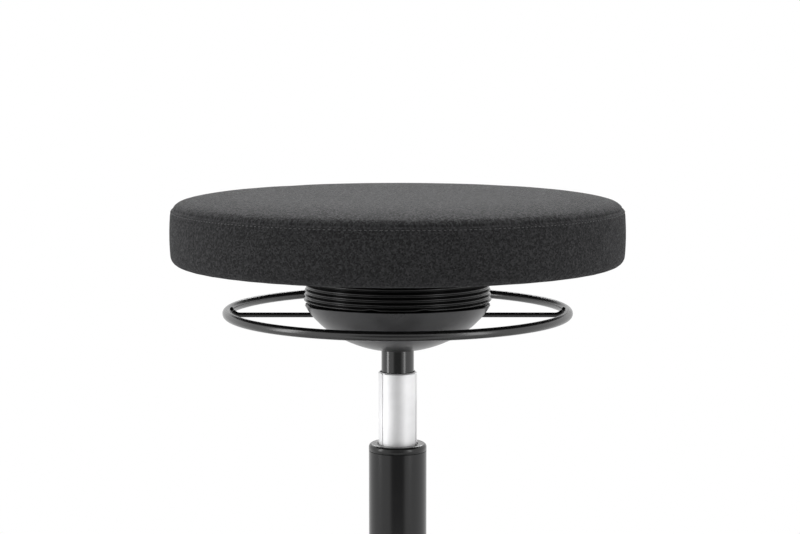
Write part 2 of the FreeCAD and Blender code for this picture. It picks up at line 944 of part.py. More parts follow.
ball_spots = list(spots(BALLS, size("ball_circle")))
cage_blank = tube(
    "cage_blank",
    size("ball_circle") - size("cage_half_width"),
    size("ball_circle") + size("cage_half_width"),
    ball_level - size("cage_depth") / 2,
    ball_level + size("cage_depth") / 2,
)
pockets = [
    cylinder(
        size("ball_radius") + running, size("cage_depth") * 2, x, y, ball_level - size("cage_depth")
    )
    for x, y in ball_spots
]
balls = []
for x, y in ball_spots:
    ball = doc.addObject("Part::Sphere", "ball")
    bind(ball, "Radius", size("ball_radius"))
    balls.append(put(ball, x, y, ball_level))
keep(group("thrust_bearing", cut("cage", cage_blank, *pockets), *balls))
keep(tube("bearing_race", size("tube_floor_hole"), size("race_radius"), floor_top, race_top))

# Telescope: the bright middle tube with its lengthwise grooves, and its liner

telescope_radius = size("telescope_radius")
telescope_inside = telescope_radius - size("telescope_wall")
telescope_top = size("telescope_top")
telescope_bottom = size("telescope_bottom")
chamfer = size("telescope_chamfer")
telescope_blank = turned(
    "telescope_blank",
    [
        (telescope_inside, telescope_bottom),
        (telescope_radius, telescope_bottom),
        (telescope_radius, telescope_top - chamfer),
        (telescope_radius - chamfer, telescope_top),
        (telescope_inside, telescope_top),
    ],
)
grooves = []
for i in range(GROOVES):
    angle = GROOVE_ANGLE + 360 * i / GROOVES
    groove = doc.addObject("Part::Box", "groove")
    bind(groove, "Length", size("telescope_groove") * 2)
    bind(groove, "Width", size("telescope_groove_width"))
    bind(groove, "Height", telescope_top - telescope_bottom)
    across = math.radians(angle)
    near = telescope_radius - size("telescope_groove")
    half = size("telescope_groove_width") / 2
    x = near * math.cos(across) + half * math.sin(across)
    y = near * math.sin(across) - half * math.cos(across)
    grooves.append(put(groove, x, y, telescope_bottom, Rotation(Vector(0, 0, 1), angle)))
keep(cut("telescope_tube", telescope_blank, *grooves))
liner_top = telescope_top - size("liner_drop")
keep(
    tube(
        "telescope_liner",
        gas_radius + running,
        telescope_inside,
        liner_top - size("liner_length"),
        liner_top,
    )
)

# Outer tube with its floor, the guide bush and the collar that closes its top

tube_radius = size("tube_radius")
tube_inside = tube_radius - size("tube_wall")
tube_top = size("tube_top")
keep(
    turned(
        "outer_tube",
        [
            (size("tube_floor_hole"), size("tube_floor")),
            (tube_radius, size("tube_floor")),
            (tube_radius, tube_top),
            (tube_inside, tube_top),
            (tube_inside, floor_top),
            (size("tube_floor_hole"), floor_top),
        ],
    )
)
guide_top = tube_top - size("guide_drop")
keep(
    tube(
        "guide_bush",
        telescope_radius + running,
        tube_inside,
        guide_top - size("guide_length"),
        guide_top,
    )
)
collar_inside = telescope_radius + size("collar_play")
collar_chamfer = size("collar_chamfer")
keep(
    turned(
        "tube_collar",
        [
            (collar_inside, tube_top - size("collar_plug")),
            (tube_inside, tube_top - size("collar_plug")),
            (tube_inside, tube_top),
            (tube_radius, tube_top),
            (tube_radius, size("collar_top") - collar_chamfer),
            (tube_radius - collar_chamfer, size("collar_top")),
            (collar_inside, size("collar_top")),
        ],
    )
)

# Five-armed base: a moulded hub and hollow arms with a castor socket at each tip

castor_circle = size("castor_circle")
arm_bottom = size("arm_bottom")


def arm_section(width, height, inset, sink):
    """A trapezium across the arm, narrower at the top, set in and sunk for a hollow."""
    foot = width / 2 - inset
    head = foot * size("arm_taper")
    return [
        (-foot, arm_bottom - sink),
        (foot, arm_bottom - sink),
        (head, arm_bottom + height - inset),
        (-head, arm_bottom + height - inset),
    ]


def arm_loft(body, kind, near, far, inset=0, sink=0):
    root = drawn(
        body,
        "YZ_Plane",
        arm_section(size("arm_root_width"), size("arm_root_height"), inset, sink),
        near,
    )
    tip = drawn(
        body,
        "YZ_Plane",
        arm_section(size("arm_tip_width"), size("arm_tip_height"), inset, sink),
        far,
    )
    loft = body.newObject(kind, "arm")
    loft.Profile = root
    loft.Sections = [tip]
    loft.Ruled = True
    return loft


def circle_sketch(body, radius, x, z):
    sketch = body.newObject("Sketcher::SketchObject", "castor_socket_outline")
    plane = next(f for f in body.Origin.OriginFeatures if f.Role == "XY_Plane")
    sketch.AttachmentSupport = [(plane, "")]
    sketch.MapMode = "FlatFace"
    sketch.AttachmentOffset = Placement(Vector(0, 0, number(z)), Rotation())
    sketch.setExpression("AttachmentOffset.Base.z", z.text)
    middle = Vector(number(x), 0, 0)
    sketch.addGeometry(Part.Circle(middle, Vector(0, 0, 1), number(radius)), False)
    sketch.addConstraint(Sketcher.Constraint("PointOnObject", 0, 3, -1))
    ties = [
        (sketch.addConstraint(Sketcher.Constraint("DistanceX", -1, 1, 0, 3, number(x))), x),
        (sketch.addConstraint(Sketcher.Constraint("Radius", 0, number(radius))), radius),
    ]
    for index, amount in ties:
        sketch.setExpression(f"Constraints[{index}]", amount.text)
    return sketch


base = turned(
    "star_base",
    [
        (tube_radius, size("hub_bottom")),
        (size("hub_radius"), size("hub_bottom")),
        (size("hub_radius"), size("hub_top") - size("hub_chamfer")),
        (size("hub_radius") - size("hub_chamfer"), size("hub_top")),
        (tube_radius, size("hub_top")),
    ],
)
solid_arm = arm_loft(
    base,
    "PartDesign::AdditiveLoft",
    size("hub_radius") - size("arm_bite"),
    castor_circle,
)
arm_hollow = arm_loft(
    base,
    "PartDesign::SubtractiveLoft",
    size("hub_radius") + size("arm_wall"),
    castor_circle - size("tip_radius") - size("arm_wall"),
    size("arm_wall"),
    size("arm_wall"),
)
tip = base.newObject("PartDesign::Pad", "arm_tip")
tip.Profile = circle_sketch(base, size("tip_radius"), castor_circle, size("tip_bottom"))
bind(tip, "Length", size("tip_top") - size("tip_bottom"))
socket = base.newObject("PartDesign::Pocket", "castor_socket")
socket.Profile = circle_sketch(
    base, size("stem_radius") + running, castor_circle, size("tip_bottom")
)
bind(socket, "Length", size("stem_depth") + size("stem_end_play"))
socket.Reversed = True
arms = base.newObject("PartDesign::PolarPattern", "arms")
arms.Originals = [solid_arm, arm_hollow, tip, socket]
arms.Axis = (next(f for f in base.Origin.OriginFeatures if f.Role == "Z_Axis"), [""])
arms.Angle = 360
arms.Occurrences = ARMS
base.Tip = arms
base.Placement = Placement(Vector(), Rotation(Vector(0, 0, 1), QUARTER / ARMS))
keep(base)

# Castors: a hood on a turning stem, with two wheels on one axle, trailing backwards

wheel_radius = size("wheel_radius")
wheel_width = size("wheel_width")
half_web = size("web_width") / 2
wheel_start = half_web + size("wheel_play")
wheel_end = wheel_start + wheel_width
axle_level = wheel_radius
axle_radius = size("axle_radius")


def wheel(label, x, y, side):
    edge = size("wheel_edge")
    rim = wheel_radius - size("wheel_rim")
    dish = wheel_width - size("wheel_dish")
    bore = axle_radius + running
    body = turned(
        label,
        [
            (0, bore),
            (0, wheel_radius - edge),
            (edge, wheel_radius),
            (wheel_width - edge, wheel_radius),
            (wheel_width, wheel_radius - edge),
            (wheel_width, rim),
            (dish, rim - edge),
            (dish, size("wheel_boss")),
            (wheel_width, size("wheel_boss")),
            (wheel_width, bore),
        ],
        "H_Axis",
    )
    turn = Rotation(Vector(0, 0, 1), 0 if side > 0 else QUARTER * 2)
    return put(body, x + wheel_start * side, y, axle_level, turn)


def castor(which, x, y):
    """The five pieces of one castor, for a stem at x and y."""
    wheel_y = y - size("castor_trail")
    hood_inside = wheel_radius + size("hood_gap")
    hood_outside = hood_inside + size("hood_wall")
    hood_end = x - wheel_end
    hood_width = wheel_end * 2
    boss_height = size("stem_boss_top") - size("stem_boss_foot")
    shell = joined(
        "hood_blank",
        cylinder(hood_outside, hood_width, hood_end, wheel_y, axle_level, "X"),
        cylinder(size("stem_boss"), boss_height, x, y, size("stem_boss_foot")),
    )
    room = cylinder(hood_inside, hood_width * 2, x - hood_width, wheel_y, axle_level, "X")
    skirt_level = axle_level + size("hood_skirt")
    under = skirt_level - hood_outside * 2
    below = block(hood_width * 2, hood_outside * 4, hood_outside * 2, x, wheel_y, under)
    hood_shell = cut("hood_shell", shell, room, below)
    web_disc = cylinder(hood_inside, size("web_width"), x - half_web, wheel_y, axle_level, "X")
    web_low = block(hood_width, hood_outside * 4, hood_outside * 2, x, wheel_y, under)
    web = cut("web", web_disc, web_low)
    rib_height = skirt_level - axle_level
    rib = block(size("web_width"), size("wheel_boss") * 2, rib_height, x, wheel_y, axle_level)
    axle_eye = cylinder(
        size("wheel_boss"), size("web_width"), x - half_web, wheel_y, axle_level, "X"
    )
    hood_blank = joined("hood_joined", hood_shell, web, rib, axle_eye)
    stem_foot = size("stem_foot")
    stem_reach = size("tip_bottom") + size("stem_depth") - stem_foot
    stem_hole = cylinder(size("stem_radius"), stem_reach, x, y, stem_foot)
    axle_hole = cylinder(axle_radius, hood_width, hood_end, wheel_y, axle_level, "X")
    keep(cut(f"castor_hood_{which}", hood_blank, stem_hole, axle_hole))
    stem = cylinder(size("stem_radius"), stem_reach, x, y, stem_foot)
    keep(group(f"castor_stem_{which}", stem))
    axle = cylinder(axle_radius, hood_width, hood_end, wheel_y, axle_level, "X")
    keep(group(f"castor_axle_{which}", axle))
    keep(wheel(f"castor_wheel_left_{which}", x, wheel_y, -1))
    keep(wheel(f"castor_wheel_right_{which}", x, wheel_y, 1))


for i, (x, y) in enumerate(spots(ARMS, castor_circle, QUARTER), start=1):
    castor(i, x, y)

# Check every object, then write one file for each piece

doc.recompute()
for item in doc.Objects:
    if {"Invalid", "Error"} & set(item.State):
        raise RuntimeError(f"{item.Name} failed: {item.State}")
for item in nodes:
    if item.Shape.isNull() or not item.Shape.isValid():
        raise RuntimeError(f"{item.Label} has no valid shape")
os.makedirs("parts", exist_ok=True)
for item in nodes:
    item.Shape.exportStep(f"parts/{item.Label}.step")
print(f"{len(nodes)} nodes written")
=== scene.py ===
import math

import bpy
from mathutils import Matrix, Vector


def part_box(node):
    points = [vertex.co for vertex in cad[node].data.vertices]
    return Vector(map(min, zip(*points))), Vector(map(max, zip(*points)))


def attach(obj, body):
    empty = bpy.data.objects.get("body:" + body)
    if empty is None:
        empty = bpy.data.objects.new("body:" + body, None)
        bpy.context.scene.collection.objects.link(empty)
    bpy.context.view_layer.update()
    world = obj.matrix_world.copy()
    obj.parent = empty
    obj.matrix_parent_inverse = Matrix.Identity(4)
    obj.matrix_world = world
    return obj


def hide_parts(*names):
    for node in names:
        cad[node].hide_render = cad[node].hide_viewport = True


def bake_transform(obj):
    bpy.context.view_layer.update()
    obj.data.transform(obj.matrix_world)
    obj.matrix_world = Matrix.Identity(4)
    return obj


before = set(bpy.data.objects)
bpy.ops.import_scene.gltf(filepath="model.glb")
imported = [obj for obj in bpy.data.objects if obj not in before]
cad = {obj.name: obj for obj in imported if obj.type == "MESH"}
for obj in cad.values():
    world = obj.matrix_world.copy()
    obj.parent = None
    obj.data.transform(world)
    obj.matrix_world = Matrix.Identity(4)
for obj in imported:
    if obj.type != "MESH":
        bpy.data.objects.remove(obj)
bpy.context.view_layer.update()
scene = bpy.context.scene
scene.view_settings.view_transform = "Standard"

# Studio: a pale round floor that fades into a white surround, wide lamps overhead and
# behind, and two tall ones at the sides. The camera looks slightly down on the stool
# from the front, as the photographer did.
CAMERA_PLACE = (0.002, -1.652, 0.6613)
CAMERA_PITCH = math.radians(6.42)
CAMERA_LENS = 87.3
CAMERA_SENSOR = 36
WHITE = (1, 1, 1, 1)
FLOOR_RADIUS = 0.9
FLOOR_GREY = (0.9, 0.9, 0.9, 1)
FLOOR_FADE = (0.45, 0.85)
SURROUND_ON_OBJECT = 0.32
DARK_SIDE = (0.80, 0.93)
DARK_LEVEL = 0.24

bpy.ops.object.camera_add(
    location=CAMERA_PLACE, rotation=(math.radians(90) - CAMERA_PITCH, 0, 0)
)
camera = bpy.context.object
camera.data.lens = CAMERA_LENS
camera.data.sensor_width = CAMERA_SENSOR
scene.camera = camera


def add_node(tree, kind, sockets=None, **options):
    """Add a shader node, set its options, and fill or link its sockets by name."""
    node = tree.nodes.new("ShaderNode" + kind)
    for name, value in options.items():
        setattr(node, name, value)
    for name, value in (sockets or {}).items():
        if isinstance(value, bpy.types.NodeSocket):
            tree.links.new(value, node.inputs[name])
        else:
            node.inputs[name].default_value = value
    return node


def seen_directly(tree):
    """1 for rays that the camera sees directly, in a gloss or through glass."""
    path = add_node(tree, "LightPath")
    direct = add_node(
        tree, "Math", {0: path.outputs["Is Camera Ray"], 1: path.outputs["Is Glossy Ray"]},
        operation="MAXIMUM",
    )
    return add_node(
        tree, "Math", {0: direct.outputs[0], 1: path.outputs["Is Transmission Ray"]},
        operation="MAXIMUM",
    ).outputs[0]


surround = bpy.data.worlds.new("studio_surround")
scene.world = surround
surround.use_nodes = True
tree = surround.node_tree
tree.nodes.clear()
on_object = add_node(tree, "Background", {"Color": WHITE, "Strength": SURROUND_ON_OBJECT})
direction = add_node(tree, "TexCoord")
to_front = add_node(
    tree,
    "VectorMath",
    {0: direction.outputs["Generated"], 1: (0, -1, 0)},
    operation="DOT_PRODUCT",
)
dark_side = add_node(
    tree,
    "MapRange",
    {
        "Value": to_front.outputs["Value"],
        "From Min": DARK_SIDE[0],
        "From Max": DARK_SIDE[1],
        "To Min": 1.0,
        "To Max": DARK_LEVEL,
    },
    interpolation_type="SMOOTHSTEP",
)
in_gloss = add_node(tree, "Background", {"Color": WHITE, "Strength": dark_side.outputs[0]})
in_view = add_node(tree, "Background", {"Color": WHITE, "Strength": 1.0})
rays = add_node(tree, "LightPath")
bright_sky = add_node(
    tree,
    "MixShader",
    {0: rays.outputs["Is Camera Ray"], 1: in_gloss.outputs[0], 2: in_view.outputs[0]},
)
sky = add_node(
    tree, "MixShader", {0: seen_directly(tree), 1: on_object.outputs[0], 2: bright_sky.outputs[0]}
)
add_node(tree, "OutputWorld", {"Surface": sky.outputs[0]})

bpy.ops.mesh.primitive_circle_add(vertices=96, radius=FLOOR_RADIUS, fill_type="NGON")
floor = bpy.context.object
floor.name = "studio_floor"
floor_paint = bpy.data.materials.new("floor_paint")
floor_paint.use_nodes = True
tree = floor_paint.node_tree
tree.nodes.clear()
place = add_node(tree, "TexCoord")
from_middle = add_node(tree, "VectorMath", {0: place.outputs["Object"]}, operation="LENGTH")
fade = add_node(
    tree,
    "MapRange",
    {"Value": from_middle.outputs["Value"], "From Min": FLOOR_FADE[0], "From Max": FLOOR_FADE[1]},
    interpolation_type="SMOOTHSTEP",
)
matt = add_node(tree, "BsdfDiffuse", {"Color": FLOOR_GREY})
glow = add_node(tree, "Emission", {"Color": WHITE, "Strength": 1.0})
bright = add_node(tree, "Math", {0: fade.outputs[0], 1: seen_directly(tree)}, operation="MULTIPLY")
floor_mix = add_node(
    tree, "MixShader", {0: bright.outputs[0], 1: matt.outputs[0], 2: glow.outputs[0]}
)
# Its underside is clear, so that a view from below shows the base.
facing = add_node(tree, "NewGeometry")
clear = add_node(tree, "BsdfTransparent")
one_sided = add_node(
    tree,
    "MixShader",
    {0: facing.outputs["Backfacing"], 1: floor_mix.outputs[0], 2: clear.outputs[0]},
)
add_node(tree, "OutputMaterial", {"Surface": one_sided.outputs[0]})
floor.data.materials.append(floor_paint)


def softbox(name, place, aim, width, height, power):
    """A rectangular lamp that faces the point it is aimed at."""
    bpy.ops.object.light_add(type="AREA", location=place)
    lamp = bpy.context.object
    lamp.name = name
    lamp.data.shape = "RECTANGLE"
    lamp.data.size = width
    lamp.data.size_y = height
    lamp.data.energy = power
    towards = Vector(aim) - Vector(place)
    lamp.rotation_euler = towards.to_track_quat("-Z", "Y").to_euler()


for name, place, aim, width, height, power in (
    ("lamp_overhead", (0.0, 0.35, 2.2), (0, 0, 0.5), 1.7, 1.5, 4.0),
    ("lamp_behind", (0.0, 1.75, 1.75), (0, 0, 0.5), 1.7, 1.2, 31.0),
    ("lamp_left", (-1.35, -0.39, 0.7), (0, 0, 0.4), 0.35, 1.3, 6.5),
    ("lamp_right", (1.07, -0.90, 0.7), (0, 0, 0.4), 0.35, 1.3, 4.0),
):
    softbox(name, place, aim, width, height, power)

# Seat upholstery: a moulded foam disc in charcoal woven cloth. A round top panel is
# sewn to a side band just below the shoulder, the seam is topstitched, and the band
# is pulled round the plywood pan and stapled under it.
SEAT_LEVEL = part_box("seat_cover")[0].z
SEAT_RADIUS = 0.1934
SEAT_SIDE = 0.053
SHOULDER = 0.013
HEM_ROUND = 0.008
SEAT_CROWN = 0.0055
CROWN_POWER = 10
CROWN_SPREAD = 1.8
SHOULDER_END = 73.4
SIDE_BULGE = 0.0006
HEM_EDGE = 0.1495
HEM_RECESS = 0.0018
SEAM_LEVEL = SEAT_LEVEL + 0.0473
SEAM_ANGLES = (20.0, 50.0)
SEAM_DEPTH = 0.0006
SEAM_WIDTH = 0.0009
WELT_RISE = 0.0003
WELT_DROP = 2.2
STITCHES = 300
STITCH_DROP = 0.0026
STITCH_LIFT = 0.0002
STITCH_SIZE = (0.0003, 0.0012, 0.00028)
GATHERS = 46
GATHER_DEPTH = 0.0007
CUSHION_STEPS = 256
CUSHION_VOXEL = 0.006
CUSHION_SHRINK = 0.003
CUSHION_SWELL = 0.0035
AIR_PRESSURE = 4.0
AIR_STEPS = 20
PANEL_PULL = 0.4
PANEL_REACH = SHOULDER * 4
BAND_SLOPE = 0.6
MERGE_DISTANCE = 0.00001


def arc(middle, radius, start, end, steps):
    """Points on an arc of the outline, with its angles in degrees from the side."""
    turn = [math.radians(start + (end - start) * i / steps) for i in range(steps + 1)]
    return [(middle[0] + radius * math.cos(a), middle[1] + radius * math.sin(a)) for a in turn]


def only(form):
    """Select one object and nothing else."""
    bpy.ops.object.select_all(action="DESELECT")
    form.select_set(True)
    bpy.context.view_layer.objects.active = form


def settle(form):
    """Put a form's place, turn and scale in its mesh."""
    only(form)
    bpy.ops.object.transform_apply(location=True, rotation=True, scale=True)


def turned_form(name, outline, steps, closed=False):
    """Extrude one point along an outline of (radius, height), and spin the line round."""
    bpy.ops.object.select_all(action="DESELECT")
    start = outline[0]
    bpy.ops.mesh.primitive_plane_add(size=0.001, location=(start[0], 0, start[1]))
    form = bpy.context.object
    form.name = name
    bpy.ops.object.mode_set(mode="EDIT")
    bpy.ops.mesh.merge(type="CENTER")
    for here, there in zip(outline, outline[1:] + outline[:1] * closed):
        step = (there[0] - here[0], 0, there[1] - here[1])
        bpy.ops.mesh.extrude_region_move(TRANSFORM_OT_translate={"value": step})
    bpy.ops.mesh.select_all(action="SELECT")
    bpy.ops.mesh.spin(steps=steps, angle=math.tau, center=(0, 0, 0), axis=(0, 0, 1))
    bpy.ops.mesh.select_all(action="SELECT")
    bpy.ops.mesh.remove_doubles(threshold=MERGE_DISTANCE)
    bpy.ops.mesh.normals_make_consistent(inside=False)
    bpy.ops.object.mode_set(mode="OBJECT")
    settle(form)
    bpy.ops.object.shade_smooth()
    return form


def copy_of(form, name):
    """A second object with a mesh of its own."""
    twin = form.copy()
    twin.data = form.data.copy()
    twin.name = name
    scene.collection.objects.link(twin)
    return twin


def cushion_outline(inset, fine):
    """The cushion from its hollow underside round to the middle of its crown."""
    top = SEAT_LEVEL + SEAT_SIDE
    side = SEAT_RADIUS - inset
    low = SEAT_LEVEL + inset
    flat = SEAT_RADIUS - SHOULDER
    hem_middle = (SEAT_RADIUS - HEM_ROUND, SEAT_LEVEL + HEM_ROUND)
    under = HEM_EDGE + inset
    outline = [(under * i / 6, low + HEM_RECESS) for i in range(7)]
    outline += [(under, low + HEM_RECESS * 0.4)]
    outline += [(under + (hem_middle[0] - under) * i / fine, low) for i in range(fine)]
    outline += arc(hem_middle, HEM_ROUND - inset, -90, 0, fine)
    rise = top - SHOULDER - hem_middle[1]
    for i in range(1, fine * 4):
        share = i / (fine * 4)
        bulge = SIDE_BULGE * 4 * share * (1 - share)
        outline.append((side + bulge, hem_middle[1] + rise * share))
    shoulder = (flat, top - SHOULDER)
    outline += arc(shoulder, SHOULDER - inset, 0, SEAM_ANGLES[0], fine)[:-1]
    outline += arc(shoulder, SHOULDER - inset, *SEAM_ANGLES, fine * 6)
    outline += arc(shoulder, SHOULDER - inset, SEAM_ANGLES[1], SHOULDER_END, fine * 3)[1:]
    edge = outline[-1]
    for i in range(1, fine * 8 + 1):
        share = 1 - (i / (fine * 8)) ** CROWN_SPREAD
        outline.append((edge[0] * share, edge[1] + SEAT_CROWN * (1 - share**CROWN_POWER)))
    return outline


def swell(form, steps, limit):
    """Blow a remeshed copy up as cloth, and keep each point within a limit."""
    puffed = copy_of(form, form.name + "_puffed")
    only(puffed)
    remesh = puffed.modifiers.new("even_cells", "REMESH")
    remesh.mode = "VOXEL"
    remesh.voxel_size = CUSHION_VOXEL
    bpy.ops.object.modifier_apply(modifier="even_cells")
    before = [point.co.copy() for point in puffed.data.vertices]
    cloth = puffed.modifiers.new("air", "CLOTH")
    cloth.settings.use_pressure = True
    cloth.settings.uniform_pressure_force = AIR_PRESSURE
    cloth.settings.effector_weights.gravity = 0.0
    cloth.point_cache.frame_start = 1
    cloth.point_cache.frame_end = steps
    for step in range(1, steps + 1):
        scene.frame_set(step)
    only(puffed)
    bpy.ops.object.modifier_apply(modifier="air")
    scene.frame_set(1)
    for point, start in zip(puffed.data.vertices, before):
        moved = point.co - start
        if moved.length > limit:
            point.co = start + moved.normalized() * limit
    return puffed


seat_cushion = turned_form("seat_cushion", cushion_outline(0, 6), CUSHION_STEPS)
inner_form = turned_form("inner_form", cushion_outline(CUSHION_SHRINK, 4), 160)
puffed = swell(inner_form, AIR_STEPS, CUSHION_SWELL)
smooth = puffed.modifiers.new("even_skin", "SMOOTH")
smooth.iterations = 6
only(puffed)
bpy.ops.object.modifier_apply(modifier="even_skin")
shrink = seat_cushion.modifiers.new("to_puffed", "SHRINKWRAP")
shrink.target = puffed
shrink.wrap_method = "NEAREST_SURFACEPOINT"
panel = seat_cushion.vertex_groups.new(name="top_panel")
for point in seat_cushion.data.vertices:
    from_edge = SEAT_RADIUS - SHOULDER - math.hypot(point.co.x, point.co.y)
    if from_edge > 0 and point.co.z > SEAM_LEVEL:
        share = min(1.0, from_edge / PANEL_REACH)
        panel.add([point.index], PANEL_PULL * share, "REPLACE")
shrink.vertex_group = "top_panel"
only(seat_cushion)
bpy.ops.object.modifier_apply(modifier="to_puffed")
for form in (inner_form, puffed):
    bpy.data.objects.remove(form)

# The seam sinks in with a low welt under it, and the hem lies in gathers.
for point in seat_cushion.data.vertices:
    around = math.atan2(point.co.y, point.co.x)
    out = Vector((math.cos(around), math.sin(around), 0))
    radius = math.hypot(point.co.x, point.co.y)
    from_seam = (point.co.z - SEAM_LEVEL) / SEAM_WIDTH
    if radius > SEAT_RADIUS - SHOULDER:
        sunk = SEAM_DEPTH * math.exp(-(from_seam**2))
        welt = WELT_RISE * math.exp(-((from_seam + WELT_DROP) ** 2) / 2)
        point.co -= out * (sunk - welt)
    if point.co.z < SEAT_LEVEL + 0.0005 and radius > HEM_EDGE:
        wave = 0.5 + 0.5 * math.cos(GATHERS * around + 2 * math.sin(3 * around))
        reach = 1 - (radius - HEM_EDGE) / (SEAT_RADIUS - HEM_EDGE)
        point.co.z += GATHER_DEPTH * wave * max(0.0, reach)

# The weave runs round the side band, and straight across the top panel.
cloth_map = seat_cushion.data.uv_layers.new(name="cloth_run")
for face in seat_cushion.data.polygons:
    band = abs(face.normal.z) < BAND_SLOPE and face.center.z < SEAM_LEVEL
    middle = math.atan2(face.center.y, face.center.x)
    for corner in face.loop_indices:
        co = seat_cushion.data.vertices[seat_cushion.data.loops[corner].vertex_index].co
        if band:
            turn = math.atan2(co.y, co.x)
            turn += math.tau * round((middle - turn) / math.tau)
            cloth_map.data[corner].uv = (turn * SEAT_RADIUS, co.z)
        else:
            cloth_map.data[corner].uv = (co.x, co.y)

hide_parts("seat_cover", "seat_foam")
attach(seat_cushion, "seat")

stitch_rise = SEAM_LEVEL - STITCH_DROP - (SEAT_LEVEL + SEAT_SIDE - SHOULDER)
stitch_radius = SEAT_RADIUS - SHOULDER + math.sqrt(SHOULDER**2 - stitch_rise**2)
bpy.ops.object.select_all(action="DESELECT")
bpy.ops.mesh.primitive_uv_sphere_add(
    segments=8, ring_count=5, radius=1.0,
    location=(stitch_radius + STITCH_LIFT, 0, SEAM_LEVEL - STITCH_DROP),
    scale=STITCH_SIZE,
)
seat_stitches = bpy.context.object
seat_stitches.name = "seat_stitches"
settle(seat_stitches)
bpy.ops.object.mode_set(mode="EDIT")
bpy.ops.mesh.select_all(action="SELECT")
bpy.ops.mesh.spin(
    steps=STITCHES - 1, dupli=True, angle=math.tau * (STITCHES - 1) / STITCHES,
    center=(0, 0, 0), axis=(0, 0, 1),
)
bpy.ops.object.mode_set(mode="OBJECT")
bpy.ops.object.shade_smooth()
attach(seat_stitches, "seat")


def principled(name, **sockets):
    """A material with one Principled shader, its tree and the shader itself."""
    material = bpy.data.materials.new(name)
    material.use_nodes = True
    shader = material.node_tree.nodes["Principled BSDF"]
    for socket, value in sockets.items():
        shader.inputs[socket.replace("_", " ")].default_value = value
    return material, material.node_tree, shader


def effect(name, inputs, outputs):
    """An empty node group with named float or vector sockets."""
    kinds = {"float": "NodeSocketFloat", "vector": "NodeSocketVector"}
    group = bpy.data.node_groups.new(name, "ShaderNodeTree")
    for label, kind in inputs.items():
        group.interface.new_socket(label, in_out="INPUT", socket_type=kinds[kind])
    for label, kind in outputs.items():
        group.interface.new_socket(label, in_out="OUTPUT", socket_type=kinds[kind])
    start = group.nodes.new("NodeGroupInput")
    end = group.nodes.new("NodeGroupOutput")
    return group, start, end


def place_effect(tree, group, sockets):
    """Put an effect in a material, with its own values or links."""
    return add_node(tree, "Group", sockets, node_tree=group)


def two_tones(tree, mask, dark, light, span=(0.0, 1.0)):
    """A colour that runs from dark to light as the mask goes through its span."""
    ramp = add_node(tree, "ValToRGB", {"Fac": mask})
    for element, place, colour in zip(ramp.color_ramp.elements, span, (dark, light)):
        element.position = place
        element.color = (*colour, 1)
    return ramp.outputs[0]


def finish_with(material, *pieces):
    """Give a material to pieces of this scene, or to nodes of the frame by name."""
    for piece in pieces:
        piece = cad[piece] if isinstance(piece, str) else piece
        if piece.material_slots:
            for piece_slot in piece.material_slots:
                piece_slot.material = material
        else:
            piece.data.materials.append(material)


weave, start, end = effect(
    "plain_weave",
    {"Vector": "vector", "Yarn": "float", "Melange": "float"},
    {"Height": "float", "Tone": "float"},
)
run = add_node(weave, "VectorMath", {0: start.outputs["Vector"]}, operation="SCALE")
weave.links.new(start.outputs["Yarn"], run.inputs["Scale"])
jitter = add_node(weave, "TexNoise", {"Vector": run.outputs[0], "Scale": 0.35, "Detail": 2.0})
loose = add_node(
    weave, "MixRGB", {0: 0.12, 1: run.outputs[0], 2: jitter.outputs["Color"]}, blend_type="ADD"
)
parts = add_node(weave, "SeparateXYZ", {0: loose.outputs[0]})
along = add_node(weave, "Math", {0: parts.outputs["X"], 1: math.pi}, operation="MULTIPLY")
across = add_node(weave, "Math", {0: parts.outputs["Y"], 1: math.pi}, operation="MULTIPLY")
along = add_node(weave, "Math", {0: along.outputs[0]}, operation="SINE")
across = add_node(weave, "Math", {0: across.outputs[0]}, operation="SINE")
over = add_node(weave, "Math", {0: along.outputs[0], 1: across.outputs[0]}, operation="MULTIPLY")
hill = add_node(weave, "Math", {0: over.outputs[0]}, operation="ABSOLUTE")
fluff = add_node(weave, "TexNoise", {"Vector": run.outputs[0], "Scale": 1.3, "Detail": 3.0})
height = add_node(
    weave, "Math", {0: fluff.outputs["Fac"], 1: 0.8, 2: hill.outputs[0]}, operation="MULTIPLY_ADD"
)
weave.links.new(height.outputs[0], end.inputs["Height"])
cells = add_node(weave, "TexVoronoi", {"Vector": run.outputs[0], "Scale": 0.7})
cell_tone = add_node(weave, "SeparateXYZ", {0: cells.outputs["Color"]})
broad = add_node(weave, "TexNoise", {"Vector": run.outputs[0], "Scale": 0.28, "Detail": 3.0})
mixed = add_node(
    weave, "Math", {0: cell_tone.outputs["X"], 1: broad.outputs["Fac"]}, operation="MULTIPLY"
)
tone = add_node(weave, "MapRange", {"Value": mixed.outputs[0], "From Min": 0.0, "From Max": 0.55})
tone_low = add_node(weave, "Math", {0: 1.0, 1: start.outputs["Melange"]}, operation="SUBTRACT")
weave.links.new(tone_low.outputs[0], tone.inputs["To Min"])
tone_high = add_node(weave, "Math", {0: 1.0, 1: start.outputs["Melange"]}, operation="ADD")
weave.links.new(tone_high.outputs[0], tone.inputs["To Max"])
weave.links.new(tone.outputs[0], end.inputs["Tone"])

cloth, tree, shader = principled(
    "charcoal_cloth",
    Specular_IOR_Level=0.25,
    Sheen_Weight=0.06,
    Sheen_Roughness=0.5,
    Sheen_Tint=(0.75, 0.75, 0.78, 1),
)
cloth_run = add_node(tree, "UVMap", uv_map="cloth_run")
yarns = place_effect(
    tree, weave, {"Vector": cloth_run.outputs[0], "Yarn": 1300.0, "Melange": 0.45}
)
shade = add_node(
    tree, "HueSaturation", {"Color": (0.030, 0.030, 0.0313, 1), "Value": yarns.outputs["Tone"]}
)
tree.links.new(shade.outputs[0], shader.inputs["Base Color"])
